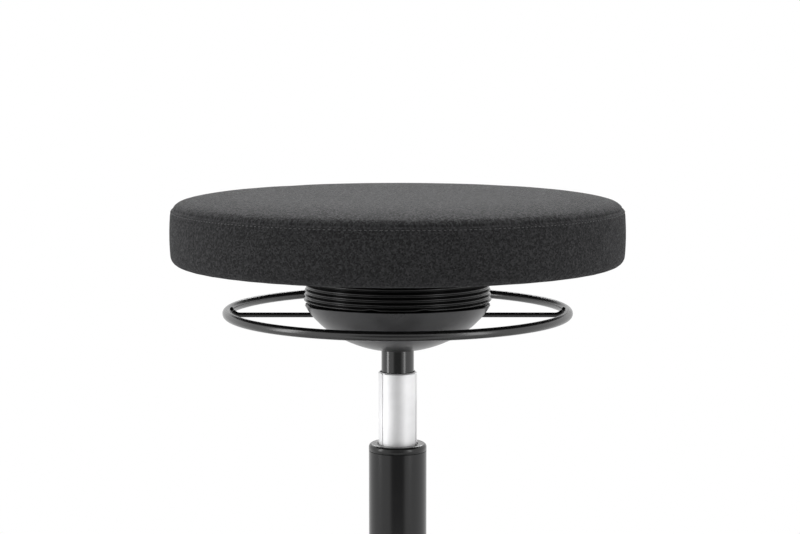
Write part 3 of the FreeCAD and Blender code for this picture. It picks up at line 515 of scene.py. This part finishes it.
# The lighter fibres are the glossier ones.
gloss = add_node(
    tree,
    "MapRange",
    {
        "Value": yarns.outputs["Tone"],
        "From Min": 0.6,
        "From Max": 1.4,
        "To Min": 1.0,
        "To Max": 0.66,
    },
)
tree.links.new(gloss.outputs[0], shader.inputs["Roughness"])
relief = add_node(
    tree, "Bump", {"Strength": 0.5, "Distance": 0.0004, "Height": yarns.outputs["Height"]}
)
tree.links.new(relief.outputs[0], shader.inputs["Normal"])
finish_with(cloth, seat_cushion)

thread, tree, shader = principled("polyester_thread", Roughness=0.6, Sheen_Weight=0.2)
place = add_node(tree, "TexCoord")
twist = add_node(
    tree, "TexWave", {"Vector": place.outputs["Object"], "Scale": 900.0, "Distortion": 1.0}
)
twist_tone = two_tones(tree, twist.outputs["Color"], (0.03, 0.03, 0.032), (0.09, 0.09, 0.094))
tree.links.new(twist_tone, shader.inputs["Base Color"])
finish_with(thread, seat_stitches)

# Bellows: a black rubber sleeve with eight ribs, from a retainer under the seat to a
# foot inside the housing's rim. It is made as an upper and a lower half.
RIM_LEVEL = 0.446
BELLOWS_TOP = 0.4797
RIBS = 8
CREST_TOP = 0.0778
CREST_LOW = 0.0804
RIB_DEPTH = 0.0018
RIB_SHARPNESS = 1.8
RUBBER = 0.0015
FOOT_OUTSIDE = 0.0746
FOOT_LEVEL = 0.4430
RIB_POINTS = 8
BUMP_PLACES = (-106.0, -74.0, 74.0, 106.0)
BUMP_HALF_ANGLE = 3.4
BUMP_RISE = 0.0010
BUMP_CEILING = 0.4490


def rib_outline(first, last):
    """Narrow-crested ribs from rib first to rib last, counted from the top."""
    points = []
    for rib in range(first, last):
        crest = CREST_TOP + (CREST_LOW - CREST_TOP) * rib / (RIBS - 1)
        for i in range(RIB_POINTS):
            share = i / RIB_POINTS
            bend = math.sin(math.pi * share) ** RIB_SHARPNESS
            level = BELLOWS_TOP - rib_pitch * (rib + share)
            points.append((crest - RIB_DEPTH * (1 - bend), level))
    return points


rib_pitch = (BELLOWS_TOP - RIM_LEVEL) / RIBS
half_level = BELLOWS_TOP - rib_pitch * (RIBS / 2)
upper_skin = rib_outline(0, RIBS // 2)
upper_skin.append(rib_outline(RIBS // 2, RIBS // 2 + 1)[0])
# The lowest rib rolls over the bowl's rim, and the foot stands inside it.
lower_skin = rib_outline(RIBS // 2, RIBS)[: -RIB_POINTS // 2 + 1]
lower_skin += [
    (CREST_LOW - 0.0003, 0.4478),
    (CREST_LOW - 0.0010, 0.4471),
    (CREST_LOW - 0.0022, 0.4467),
    (FOOT_OUTSIDE + 0.0014, 0.4464),
    (FOOT_OUTSIDE + 0.0003, 0.4458),
    (FOOT_OUTSIDE, 0.4448),
    (FOOT_OUTSIDE, FOOT_LEVEL),
    (FOOT_OUTSIDE - RUBBER, FOOT_LEVEL),
    (FOOT_OUTSIDE - RUBBER, RIM_LEVEL + 0.0003),
    (CREST_LOW - RIB_DEPTH - RUBBER, RIM_LEVEL + rib_pitch / 2),
    (lower_skin[0][0] - RUBBER, half_level),
]
upper_skin += [
    (upper_skin[-1][0] - RUBBER, half_level),
    (CREST_TOP - RIB_DEPTH - RUBBER, BELLOWS_TOP),
]
bellows_upper = turned_form("bellows_upper", upper_skin, 192, closed=True)
bellows_lower = turned_form("bellows_lower", lower_skin, 192, closed=True)
for point in bellows_lower.data.vertices:
    turn = math.degrees(math.atan2(point.co.y, point.co.x))
    radius = math.hypot(point.co.x, point.co.y)
    if radius > FOOT_OUTSIDE + 0.001 and point.co.z < BUMP_CEILING:
        near = min(abs((turn - place + 180) % 360 - 180) for place in BUMP_PLACES)
        point.co.z += BUMP_RISE * math.exp(-((near / BUMP_HALF_ANGLE) ** 2))
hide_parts("bellows")
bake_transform(bellows_lower)
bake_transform(bellows_upper)

speckle, start, end = effect(
    "moulded_skin",
    {"Vector": "vector", "Scale": "float", "Low": "float", "High": "float"},
    {"Height": "float", "Roughness": "float", "Tone": "float"},
)
fine = add_node(
    speckle,
    "TexNoise",
    {"Vector": start.outputs["Vector"], "Scale": start.outputs["Scale"], "Detail": 2.0},
)
speckle.links.new(fine.outputs["Fac"], end.inputs["Height"])
broad = add_node(
    speckle, "TexNoise", {"Vector": start.outputs["Vector"], "Scale": 23.0, "Detail": 4.0}
)
rough = add_node(
    speckle,
    "MapRange",
    {
        "Value": broad.outputs["Fac"],
        "From Min": 0.3,
        "From Max": 0.7,
        "To Min": start.outputs["Low"],
        "To Max": start.outputs["High"],
    },
)
speckle.links.new(rough.outputs[0], end.inputs["Roughness"])
tone = add_node(
    speckle,
    "MapRange",
    {
        "Value": broad.outputs["Fac"],
        "From Min": 0.3,
        "From Max": 0.7,
        "To Min": 0.88,
        "To Max": 1.12,
    },
)
speckle.links.new(tone.outputs[0], end.inputs["Tone"])


def moulded(name, colour, low, high, scale, depth, **sockets):
    """A plastic, rubber, paint or metal skin with a fine grain and uneven gloss."""
    material, tree, shader = principled(name, **sockets)
    place = add_node(tree, "TexCoord")
    skin = place_effect(
        tree,
        speckle,
        {"Vector": place.outputs["Object"], "Scale": scale, "Low": low, "High": high},
    )
    tinted = add_node(tree, "HueSaturation", {"Color": (*colour, 1), "Value": skin.outputs["Tone"]})
    relief = add_node(
        tree, "Bump", {"Strength": 0.3, "Distance": depth, "Height": skin.outputs["Height"]}
    )
    tree.links.new(tinted.outputs[0], shader.inputs["Base Color"])
    tree.links.new(skin.outputs["Roughness"], shader.inputs["Roughness"])
    tree.links.new(relief.outputs[0], shader.inputs["Normal"])
    return material


rubber = moulded("bellows_rubber", (0.003, 0.003, 0.003), 0.20, 0.26, 1500.0, 0.00002)
finish_with(rubber, bellows_upper, bellows_lower)

# Housing bowl: a dish moulded in dark grey plastic with a satin skin. Its rim dips a
# little at both sides, where a slot lets the lever's rods move.
BOWL_FLOOR = 0.404
BOWL_NECK = 0.0144
BOWL_KNEE = (0.0613, 0.4227)
BOWL_RIM = 0.0795
BOWL_WALL = 0.0025
FLOOR_BEND = 0.104
SIDE_BEND = 0.056
RIM_DIP = 0.0026
DIP_START = 0.430
SLOT_MIDDLE = 0.075
SLOT_FOOT = 0.4296
SLOT_SIZE = (0.034, 0.007, 0.030)


def bent_line(start, end, radius, steps):
    """Points from start to end on an arc that bulges outwards and down."""
    chord = Vector((end[0] - start[0], end[1] - start[1]))
    across = Vector((chord.y, -chord.x)).normalized()
    drop = math.sqrt(radius**2 - (chord.length / 2) ** 2)
    middle = (Vector(start) + Vector(end)) / 2 - across * drop
    first = math.atan2(start[1] - middle.y, start[0] - middle.x)
    last = math.atan2(end[1] - middle.y, end[0] - middle.x)
    return [
        (
            middle.x + radius * math.cos(first + (last - first) * i / steps),
            middle.y + radius * math.sin(first + (last - first) * i / steps),
        )
        for i in range(steps + 1)
    ]


def carve(form, tool, how="DIFFERENCE"):
    """Cut a tool out of a form, or join the two into one skin, and drop the tool."""
    only(form)
    cutter = form.modifiers.new("carve", "BOOLEAN")
    cutter.operation = how
    cutter.solver = "EXACT"
    cutter.object = tool
    bpy.ops.object.modifier_apply(modifier="carve")
    bpy.data.objects.remove(tool)


def smooth_under(form, degrees):
    """Shade a form smooth, but keep its edges that are sharper than an angle."""
    only(form)
    bpy.ops.object.shade_smooth_by_angle(angle=math.radians(degrees))


knee_inside = (BOWL_KNEE[0] - BOWL_WALL * 0.8, BOWL_KNEE[1] + BOWL_WALL * 0.8)
outside = bent_line((BOWL_NECK, BOWL_FLOOR), BOWL_KNEE, FLOOR_BEND, 16)
outside += bent_line(BOWL_KNEE, (BOWL_RIM, RIM_LEVEL - 0.0003), SIDE_BEND, 14)[1:]
inside = bent_line(
    knee_inside, (BOWL_RIM - BOWL_WALL, RIM_LEVEL - 0.0002), SIDE_BEND - BOWL_WALL, 10
)[::-1]
inside += bent_line(
    (BOWL_NECK, BOWL_FLOOR + BOWL_WALL), knee_inside, FLOOR_BEND - BOWL_WALL, 10
)[::-1][1:]
rim_edge = [(BOWL_RIM - 0.0003, RIM_LEVEL), (BOWL_RIM - BOWL_WALL + 0.0003, RIM_LEVEL)]
housing_bowl = turned_form("bowl_shell", outside + rim_edge + inside, 256, closed=True)
for point in housing_bowl.data.vertices:
    rise = max(0.0, (point.co.z - DIP_START) / (RIM_LEVEL - DIP_START))
    side = point.co.x**2 / (point.co.x**2 + point.co.y**2)
    point.co.z -= RIM_DIP * rise * side**2
for side in (-1, 1):
    bpy.ops.object.select_all(action="DESELECT")
    bpy.ops.mesh.primitive_cube_add(
        size=1, location=(side * SLOT_MIDDLE, 0, SLOT_FOOT + SLOT_SIZE[2] / 2), scale=SLOT_SIZE
    )
    slot_tool = bpy.context.object
    settle(slot_tool)
    carve(housing_bowl, slot_tool)
smooth_under(housing_bowl, 40)
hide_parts("housing_bowl")
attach(housing_bowl, "housing")
bowl_plastic = moulded(
    "bowl_plastic", (0.034, 0.034, 0.036), 0.26, 0.34, 1800.0, 0.00004, Specular_IOR_Level=0.65
)
finish_with(bowl_plastic, housing_bowl)

# Ring lever: a ring of 8 mm wire, black powder coated, welded to the upturned ends
# of two thin rods that run into the housing.
RING_RADIUS = 0.146
RING_WIRE = 0.004
RING_LEVEL = 0.437
ROD_LEVEL = 0.434
ROD_RADIUS = 0.0021
ROD_INNER_END = 0.034
ROD_BEND_START = 0.1352
ROD_BEND_RADIUS = 0.008
ROD_BEND_ANGLE = math.radians(38.0)
ROD_TIP = 0.0046
WELD_PLACE = (0.1427, 0.4378)
WELD_SIZE = (0.0022, 0.0036, 0.0032)

bpy.ops.object.select_all(action="DESELECT")
bpy.ops.mesh.primitive_torus_add(
    major_segments=200, minor_segments=24, major_radius=RING_RADIUS, minor_radius=RING_WIRE,
    location=(0, 0, RING_LEVEL),
)
ring = bpy.context.object
ring.name = "ring_and_rods"
settle(ring)
for side in (-1, 1):
    bpy.ops.object.select_all(action="DESELECT")
    bpy.ops.mesh.primitive_circle_add(
        vertices=20, radius=ROD_RADIUS, fill_type="NGON",
        location=(ROD_INNER_END * side, 0, ROD_LEVEL),
        rotation=(0, math.radians(90 * side), 0),
    )
    rod = bpy.context.object
    bpy.ops.object.mode_set(mode="EDIT")
    bpy.ops.mesh.extrude_region_move(
        TRANSFORM_OT_translate={"value": ((ROD_BEND_START - ROD_INNER_END) * side, 0, 0)}
    )
    bpy.ops.mesh.spin(
        steps=8,
        angle=ROD_BEND_ANGLE,
        center=(ROD_BEND_START * side, 0, ROD_LEVEL + ROD_BEND_RADIUS),
        axis=(0, side, 0),
    )
    tip_run = ROD_TIP * math.cos(ROD_BEND_ANGLE)
    tip_rise = ROD_TIP * math.sin(ROD_BEND_ANGLE)
    bpy.ops.mesh.extrude_region_move(
        TRANSFORM_OT_translate={"value": (tip_run * side, 0, tip_rise)}
    )
    bpy.ops.mesh.select_all(action="SELECT")
    bpy.ops.mesh.normals_make_consistent(inside=False)
    bpy.ops.object.mode_set(mode="OBJECT")
    settle(rod)
    carve(ring, rod, "UNION")
    bpy.ops.object.select_all(action="DESELECT")
    bpy.ops.mesh.primitive_uv_sphere_add(
        segments=20, ring_count=12, radius=1.0,
        location=(WELD_PLACE[0] * side, 0, WELD_PLACE[1]), scale=WELD_SIZE,
    )
    weld = bpy.context.object
    settle(weld)
    carve(ring, weld, "UNION")
smooth_under(ring, 50)
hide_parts("ring_lever")
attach(ring, "lever")
powder_coat = moulded(
    "powder_coat", (0.004, 0.004, 0.004), 0.20, 0.28, 900.0, 0.00004, Specular_IOR_Level=0.9
)
finish_with(powder_coat, ring)

# Gas column: a black gas spring, a bright telescope tube with lengthwise grooves, and
# a black outer tube closed by a moulded collar.
COLLAR_RADIUS = 0.025
COLLAR_PLUG = 0.0229
COLLAR_BORE = 0.0172
COLLAR_ROUND = 0.0032
BORE_EDGE = 0.0006
PARTING = 0.0005

black_tube = moulded("black_tube", (0.005, 0.005, 0.0055), 0.14, 0.19, 700.0, 0.00002)
finish_with(black_tube, "outer_tube")
black_chrome = moulded(
    "black_spring", (0.003, 0.0033, 0.0037), 0.15, 0.19, 500.0, 0.000005, Specular_IOR_Level=0.75
)
finish_with(black_chrome, "gas_cylinder")
chrome = moulded("chrome_plate", (0.91, 0.91, 0.915), 0.56, 0.62, 400.0, 0.00001, Metallic=0.9)
finish_with(chrome, "telescope_tube", "piston_rod")
collar_plastic = moulded("collar_plastic", (0.012, 0.012, 0.012), 0.2, 0.28, 1200.0, 0.00003)
collar_low, collar_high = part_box("tube_collar")
tube_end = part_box("outer_tube")[1].z
tube_collar = turned_form(
    "collar_cap",
    [
        (COLLAR_BORE, collar_low.z),
        (COLLAR_PLUG, collar_low.z),
        (COLLAR_PLUG, tube_end),
        (COLLAR_RADIUS - PARTING, tube_end),
        (COLLAR_RADIUS, tube_end + PARTING),
        *arc(
            (COLLAR_RADIUS - COLLAR_ROUND, collar_high.z - COLLAR_ROUND), COLLAR_ROUND, 0, 90, 8
        ),
        (COLLAR_BORE + BORE_EDGE, collar_high.z),
        (COLLAR_BORE, collar_high.z - BORE_EDGE),
    ],
    96,
    closed=True,
)
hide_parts("tube_collar")
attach(tube_collar, "base")
finish_with(collar_plastic, tube_collar)

# Star base: five tapering arms of glass-filled nylon round a hub, open underneath with
# cross ribs, and a round boss at each tip for the stem of a castor.
HUB_RADIUS = 0.035
HUB_BORE = 0.025
HUB_LEVELS = (0.072, 0.126)
ARM_START = 0.029
CASTOR_CIRCLE = 0.245
ARM_FOOT = 0.077
ARM_ROOT = (0.044, 0.042)
ARM_TIP = (0.024, 0.019)
ARM_TAPER = 0.8
ARM_BOW = 0.0014
ARM_EDGE = 0.0035
ARM_WALL = 0.004
HOLLOW_EDGE = 0.0015
HOLLOW_REACH = (0.039, 0.227)
RIB_PLACES = (0.085, 0.130, 0.175)
RIB_THICKNESS = 0.003
RIB_SINK = 0.003
RIB_FOOT = 0.082
FIRST_ARM = 18
ARMS = 5
TIP_RADIUS = 0.014
TIP_LEVELS = (0.072, 0.098)
STEM_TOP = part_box("castor_stem_1")[1].z
STEM_RADIUS = 0.00565


def block(name, low, high, stations=0):
    """A box between two corners, cut across its length into equal stations."""
    bpy.ops.object.select_all(action="DESELECT")
    low, high = Vector(low), Vector(high)
    bpy.ops.mesh.primitive_cube_add(size=1, location=(low + high) / 2, scale=high - low)
    form = bpy.context.object
    form.name = name
    settle(form)
    bpy.ops.object.mode_set(mode="EDIT")
    for i in range(1, stations):
        cut_at = low.x + (high.x - low.x) * i / stations
        bpy.ops.mesh.select_all(action="SELECT")
        bpy.ops.mesh.bisect(plane_co=(cut_at, 0, 0), plane_no=(1, 0, 0))
    bpy.ops.object.mode_set(mode="OBJECT")
    return form


def round_edges(form, width, segments):
    """Bevel every edge of a form that is sharper than 40 degrees."""
    only(form)
    bevel = form.modifiers.new("round_edges", "BEVEL")
    bevel.width = width
    bevel.segments = segments
    bevel.limit_method = "ANGLE"
    bevel.angle_limit = math.radians(40)
    bpy.ops.object.modifier_apply(modifier="round_edges")


def taper_arm(form, inset, sink):
    """Narrow and lower a box from the arm's root to its tip, and bow its back."""
    full = ARM_ROOT[1] - inset + sink
    for point in form.data.vertices:
        along = (point.co.x - ARM_START) / (CASTOR_CIRCLE - ARM_START)
        wide = ARM_ROOT[0] + (ARM_TIP[0] - ARM_ROOT[0]) * along - 2 * inset
        tall = ARM_ROOT[1] + (ARM_TIP[1] - ARM_ROOT[1]) * along - inset + sink
        up = (point.co.z - ARM_FOOT + sink) / full
        point.co.y *= wide / (ARM_ROOT[0] - 2 * inset) * (1 - (1 - ARM_TAPER) * up)
        bow = ARM_BOW * math.sin(math.pi * along) * up
        point.co.z = ARM_FOOT - sink + up * tall + bow


star_base = turned_form(
    "base_star",
    [
        (HUB_BORE, HUB_LEVELS[0]),
        (HUB_RADIUS - 0.001, HUB_LEVELS[0]),
        (HUB_RADIUS, HUB_LEVELS[0] + 0.001),
        *arc((HUB_RADIUS - 0.003, HUB_LEVELS[1] - 0.003), 0.003, 0, 90, 5),
        (HUB_BORE + 0.001, HUB_LEVELS[1]),
        (HUB_BORE, HUB_LEVELS[1] - 0.001),
    ],
    72,
    closed=True,
)
half_root = ARM_ROOT[0] / 2
arm = block(
    "base_arm",
    (ARM_START, -half_root, ARM_FOOT),
    (CASTOR_CIRCLE, half_root, ARM_FOOT + ARM_ROOT[1]),
    9,
)
round_edges(arm, ARM_EDGE, 4)
taper_arm(arm, 0, 0)
hollow = block(
    "arm_hollow",
    (HOLLOW_REACH[0], ARM_WALL - half_root, ARM_FOOT - ARM_WALL),
    (HOLLOW_REACH[1], half_root - ARM_WALL, ARM_FOOT + ARM_ROOT[1] - ARM_WALL),
    8,
)
round_edges(hollow, HOLLOW_EDGE, 2)
taper_arm(hollow, ARM_WALL, ARM_WALL)
carve(arm, hollow)
for place in RIB_PLACES:
    along = (place - ARM_START) / (CASTOR_CIRCLE - ARM_START)
    wide = (ARM_ROOT[0] + (ARM_TIP[0] - ARM_ROOT[0]) * along) / 2 - RIB_SINK
    high = ARM_FOOT + ARM_ROOT[1] + (ARM_TIP[1] - ARM_ROOT[1]) * along - RIB_SINK
    rib = block(
        "arm_rib",
        (place, -wide * ARM_TAPER, RIB_FOOT),
        (place + RIB_THICKNESS, wide * ARM_TAPER, high),
    )
    carve(arm, rib, "UNION")
tip = turned_form(
    "arm_tip",
    [
        (0, TIP_LEVELS[0]),
        (TIP_RADIUS - 0.001, TIP_LEVELS[0]),
        (TIP_RADIUS, TIP_LEVELS[0] + 0.001),
        *arc((TIP_RADIUS - 0.003, TIP_LEVELS[1] - 0.003), 0.003, 0, 90, 5),
        (0, TIP_LEVELS[1]),
    ],
    48,
)
tip.location.x = CASTOR_CIRCLE
settle(tip)
carve(arm, tip, "UNION")
socket = turned_form(
    "stem_socket",
    [
        (0, TIP_LEVELS[0] - 0.01),
        (STEM_RADIUS, TIP_LEVELS[0] - 0.01),
        (STEM_RADIUS, STEM_TOP + 0.0004),
        (0, STEM_TOP + 0.0004),
    ],
    32,
)
socket.location.x = CASTOR_CIRCLE
settle(socket)
carve(arm, socket)
for i in range(ARMS):
    next_arm = copy_of(arm, "base_arm_copy")
    next_arm.rotation_euler.z = math.radians(FIRST_ARM + 360 // ARMS * i)
    settle(next_arm)
    carve(star_base, next_arm, "UNION")
bpy.data.objects.remove(arm)
smooth_under(star_base, 32)
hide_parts("star_base")
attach(star_base, "base")
nylon = moulded("base_nylon", (0.018, 0.018, 0.018), 0.42, 0.52, 1300.0, 0.00008)
finish_with(nylon, star_base)

# Castors: a curved hood on a turning stem over two wheels, each with a soft tread
# round a dished hub. All five are alike and trail the same way.
AXLE_LEVEL = 0.0325
TRAIL = 0.028
HOOD_INSIDE = 0.034
HOOD_OUTSIDE = 0.0365
HOOD_HALF = 0.0222
HOOD_SKIRT = 0.0465
WEB_HALF = 0.003
EYE_RADIUS = 0.009
BOSS_RADIUS = 0.010
BOSS_LEVELS = (0.052, 0.070)
AXLE_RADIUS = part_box("castor_axle_1")[1].z - AXLE_LEVEL
WHEEL_START = 0.0042
WHEEL_WIDTH = 0.018
TREAD_INSIDE = 0.0275
HUB_BORE_GAP = 0.0002
SPOKES = 6


def lay_on_axle(form, shift=0.0):
    """Turn a form about Z into one about the axle, with its first end at shift."""
    form.rotation_euler.y = math.radians(90)
    form.location = (shift, 0, AXLE_LEVEL)
    settle(form)


def drop_below(form, level):
    """Cut a form off level below a height, and close the cut."""
    only(form)
    bpy.ops.object.mode_set(mode="EDIT")
    bpy.ops.mesh.select_all(action="SELECT")
    bpy.ops.mesh.bisect(
        plane_co=(0, 0, level), plane_no=(0, 0, 1), use_fill=True, clear_inner=True
    )
    bpy.ops.object.mode_set(mode="OBJECT")


def rod(name, radius, low, high, steps=40):
    """A plain round bar about Z between two heights."""
    return turned_form(name, [(0, low), (radius, low), (radius, high), (0, high)], steps)


hood = turned_form(
    "castor_hood",
    [
        (HOOD_INSIDE, -HOOD_HALF),
        (HOOD_OUTSIDE - 0.001, -HOOD_HALF),
        (HOOD_OUTSIDE - 0.0003, 0.0004 - HOOD_HALF),
        (HOOD_OUTSIDE, 0.0014 - HOOD_HALF),
        (HOOD_OUTSIDE, HOOD_HALF - 0.0014),
        (HOOD_OUTSIDE - 0.0003, HOOD_HALF - 0.0004),
        (HOOD_OUTSIDE - 0.001, HOOD_HALF),
        (HOOD_INSIDE, HOOD_HALF),
    ],
    96,
    closed=True,
)
lay_on_axle(hood)
drop_below(hood, HOOD_SKIRT)
web = rod("hood_web", HOOD_INSIDE + 0.0008, -WEB_HALF, WEB_HALF, 96)
lay_on_axle(web)
drop_below(web, HOOD_SKIRT)
carve(hood, web, "UNION")
eye = rod("axle_eye", EYE_RADIUS, -WEB_HALF, WEB_HALF)
lay_on_axle(eye)
neck = block(
    "eye_neck",
    (-WEB_HALF, -EYE_RADIUS, AXLE_LEVEL),
    (WEB_HALF, EYE_RADIUS, HOOD_SKIRT + 0.001),
)
carve(hood, neck, "UNION")
carve(hood, eye, "UNION")
boss = turned_form(
    "stem_boss",
    [
        (0, BOSS_LEVELS[0]),
        (BOSS_RADIUS, BOSS_LEVELS[0]),
        *arc((BOSS_RADIUS - 0.0015, BOSS_LEVELS[1] - 0.0015), 0.0015, 0, 90, 3),
        (0, BOSS_LEVELS[1]),
    ],
    48,
)
stem_hole = rod("stem_hole", STEM_RADIUS - 0.00015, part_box("castor_stem_1")[0].z, 0.09)
for form in (boss, stem_hole):
    form.location.y = TRAIL
    settle(form)
carve(hood, boss, "UNION")
carve(hood, stem_hole)
axle_hole = rod("axle_hole", AXLE_RADIUS, -0.03, 0.03, 24)
lay_on_axle(axle_hole)
carve(hood, axle_hole)
smooth_under(hood, 35)

# The wheel's outline goes from its inner face over the tread to the dished hub.
rim = HOOD_INSIDE - 0.0015
wheel = turned_form(
    "castor_wheel",
    [
        (AXLE_RADIUS + HUB_BORE_GAP, 0),
        (TREAD_INSIDE - 0.0004, 0),
        (TREAD_INSIDE, 0.0005),
        (TREAD_INSIDE + 0.0004, 0),
        *arc((rim - 0.003, 0.003), 0.003, -90, -8, 5),
        (rim, 0.006),
        (rim, 0.012),
        *arc((rim - 0.003, 0.015), 0.003, 8, 90, 5),
        (TREAD_INSIDE + 0.0004, WHEEL_WIDTH),
        (TREAD_INSIDE, WHEEL_WIDTH - 0.0006),
        (TREAD_INSIDE - 0.0004, WHEEL_WIDTH),
        (0.0262, WHEEL_WIDTH),
        (0.0250, WHEEL_WIDTH - 0.0006),
        (0.0238, WHEEL_WIDTH - 0.0034),
        (0.0226, WHEEL_WIDTH - 0.0040),
        (0.0098, WHEEL_WIDTH - 0.0040),
        (0.0090, WHEEL_WIDTH - 0.0034),
        (0.0088, WHEEL_WIDTH - 0.0006),
        (0.0082, WHEEL_WIDTH),
        (AXLE_RADIUS + HUB_BORE_GAP, WHEEL_WIDTH),
    ],
    96,
    closed=True,
)
for i in range(SPOKES):
    spoke = block(
        "hub_spoke",
        (0.0085, -0.0012, WHEEL_WIDTH - 0.0045),
        (0.0245, 0.0012, WHEEL_WIDTH - 0.0014),
    )
    spoke.rotation_euler.z = math.radians(360 // SPOKES * i)
    settle(spoke)
    carve(wheel, spoke, "UNION")
lay_on_axle(wheel, WHEEL_START)
castor_nylon = moulded("castor_nylon", (0.016, 0.016, 0.016), 0.34, 0.44, 1500.0, 0.00005)
tread_rubber = moulded("tread_rubber", (0.045, 0.045, 0.047), 0.5, 0.62, 900.0, 0.00008)
wheel.data.materials.append(castor_nylon)
wheel.data.materials.append(tread_rubber)
for face in wheel.data.polygons:
    outward = math.hypot(face.center.y, face.center.z - AXLE_LEVEL)
    face.material_index = 1 if outward > TREAD_INSIDE else 0
smooth_under(wheel, 35)

for i in range(1, 6):
    low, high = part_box(f"castor_stem_{i}")
    shift = Vector(((low.x + high.x) / 2, (low.y + high.y) / 2 - TRAIL, 0))
    this_hood = copy_of(hood, f"hood_{i}")
    right = copy_of(wheel, f"wheel_right_copy_{i}")
    left = copy_of(wheel, f"wheel_left_copy_{i}")
    left.rotation_euler.z = math.pi
    for piece in (this_hood, right, left):
        piece.location = shift
        settle(piece)
    finish_with(castor_nylon, this_hood)
    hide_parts(f"castor_hood_{i}")
    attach(this_hood, f"castor_{i}")
    for side, piece in (("left", left), ("right", right)):
        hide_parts(f"castor_wheel_{side}_{i}")
        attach(piece, f"wheel_{side}_{i}")
for form in (hood, wheel):
    bpy.data.objects.remove(form)

# Rubber buffers: six soft posts between the spring plate and the seat's yoke, each
# made as a lower and an upper half.
BUFFER_RADIUS = 0.008
BUFFER_CIRCLE = 0.058
BUFFER_LEVELS = (0.446, 0.4772)
BUFFERS = 6
buffer_half = (BUFFER_LEVELS[0] + BUFFER_LEVELS[1]) / 2
low_half = [BUFFER_LEVELS[0] + (buffer_half - BUFFER_LEVELS[0]) * i / 8 for i in range(9)]
high_half = [buffer_half + (BUFFER_LEVELS[1] - buffer_half) * i / 8 for i in range(9)]
# Either a post stands on the X axis, or the posts stand 30 degrees from it.
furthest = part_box("rubber_buffers")[1].x
first_angle = math.radians(0.0 if furthest > BUFFER_CIRCLE + 0.006 else 30.0)
for name, levels, bodies in (
    ("buffers_lower", low_half, ("housing", "cross")),
    ("buffers_upper", high_half, ("cross", "seat")),
):
    post = turned_form(
        name,
        [(0, levels[0]), *((BUFFER_RADIUS, level) for level in levels), (0, levels[-1])],
        24,
    )
    post.location.x = BUFFER_CIRCLE * math.cos(first_angle)
    post.location.y = BUFFER_CIRCLE * math.sin(first_angle)
    settle(post)
    bpy.ops.object.mode_set(mode="EDIT")
    bpy.ops.mesh.select_all(action="SELECT")
    bpy.ops.mesh.spin(
        steps=BUFFERS - 1, dupli=True, angle=math.tau * (BUFFERS - 1) / BUFFERS,
        center=(0, 0, 0), axis=(0, 0, 1),
    )
    bpy.ops.object.mode_set(mode="OBJECT")
    if bodies[0] == "housing":
        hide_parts("rubber_buffers")
    finish_with(rubber, post)
    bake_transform(post)

# Inside pieces keep their built shapes: turned and zinc-plated steel, cast aluminium,
# birch plywood, felt, and a few bushes and screws.
plate_steel = moulded("zinc_steel", (0.55, 0.55, 0.54), 0.3, 0.42, 600.0, 0.00002, Metallic=1.0)
casting = moulded("cast_alloy", (0.42, 0.42, 0.43), 0.42, 0.55, 500.0, 0.00015, Metallic=1.0)
bush_plastic = moulded("bush_plastic", (0.62, 0.60, 0.55), 0.35, 0.45, 900.0, 0.00002)
foam = moulded("moulded_foam", (0.78, 0.76, 0.66), 0.85, 0.95, 260.0, 0.0004)
rocker = moulded("rocker_plastic", (0.02, 0.02, 0.02), 0.38, 0.48, 900.0, 0.00005)

felt, tree, shader = principled("dust_felt", Roughness=0.95, Sheen_Weight=0.2)
place = add_node(tree, "TexCoord")
fibres = add_node(
    tree, "TexNoise", {"Vector": place.outputs["Object"], "Scale": 420.0, "Detail": 5.0}
)
fibre_tone = two_tones(
    tree, fibres.outputs["Fac"], (0.010, 0.010, 0.010), (0.032, 0.032, 0.033), span=(0.35, 0.68)
)
tree.links.new(fibre_tone, shader.inputs["Base Color"])
relief = add_node(
    tree, "Bump", {"Strength": 0.6, "Distance": 0.0004, "Height": fibres.outputs["Fac"]}
)
tree.links.new(relief.outputs[0], shader.inputs["Normal"])

plywood, tree, shader = principled("birch_plywood", Roughness=0.6)
place = add_node(tree, "TexCoord")
stretched = add_node(
    tree, "Mapping", {"Vector": place.outputs["Object"], "Scale": (6.0, 60.0, 60.0)}
)
grain = add_node(tree, "TexNoise", {"Vector": stretched.outputs[0], "Scale": 6.0, "Detail": 6.0})
grain_tone = two_tones(tree, grain.outputs["Fac"], (0.42, 0.27, 0.14), (0.74, 0.56, 0.36))
tree.links.new(grain_tone, shader.inputs["Base Color"])

finish_with(felt, "underside_cover")
finish_with(plywood, "seat_pan")
finish_with(foam, "seat_foam")
finish_with(casting, "seat_yoke", "cross", "carrier")
finish_with(
    bush_plastic, "upper_cross_bushes", "lower_cross_bushes", "telescope_liner", "guide_bush"
)
finish_with(
    plate_steel, "tee_nuts", "seat_bolts", "lever_pivot_pin", "housing_screws", "spring_plate",
    "valve_pin", "piston", "thrust_bearing", "rod_clip", "bearing_race",
)
finish_with(rubber, "rod_bumper", "gas_seal")
finish_with(rocker, "lever_rocker", "bellows_retainer")
for i in range(1, 6):
    finish_with(plate_steel, f"castor_stem_{i}", f"castor_axle_{i}")
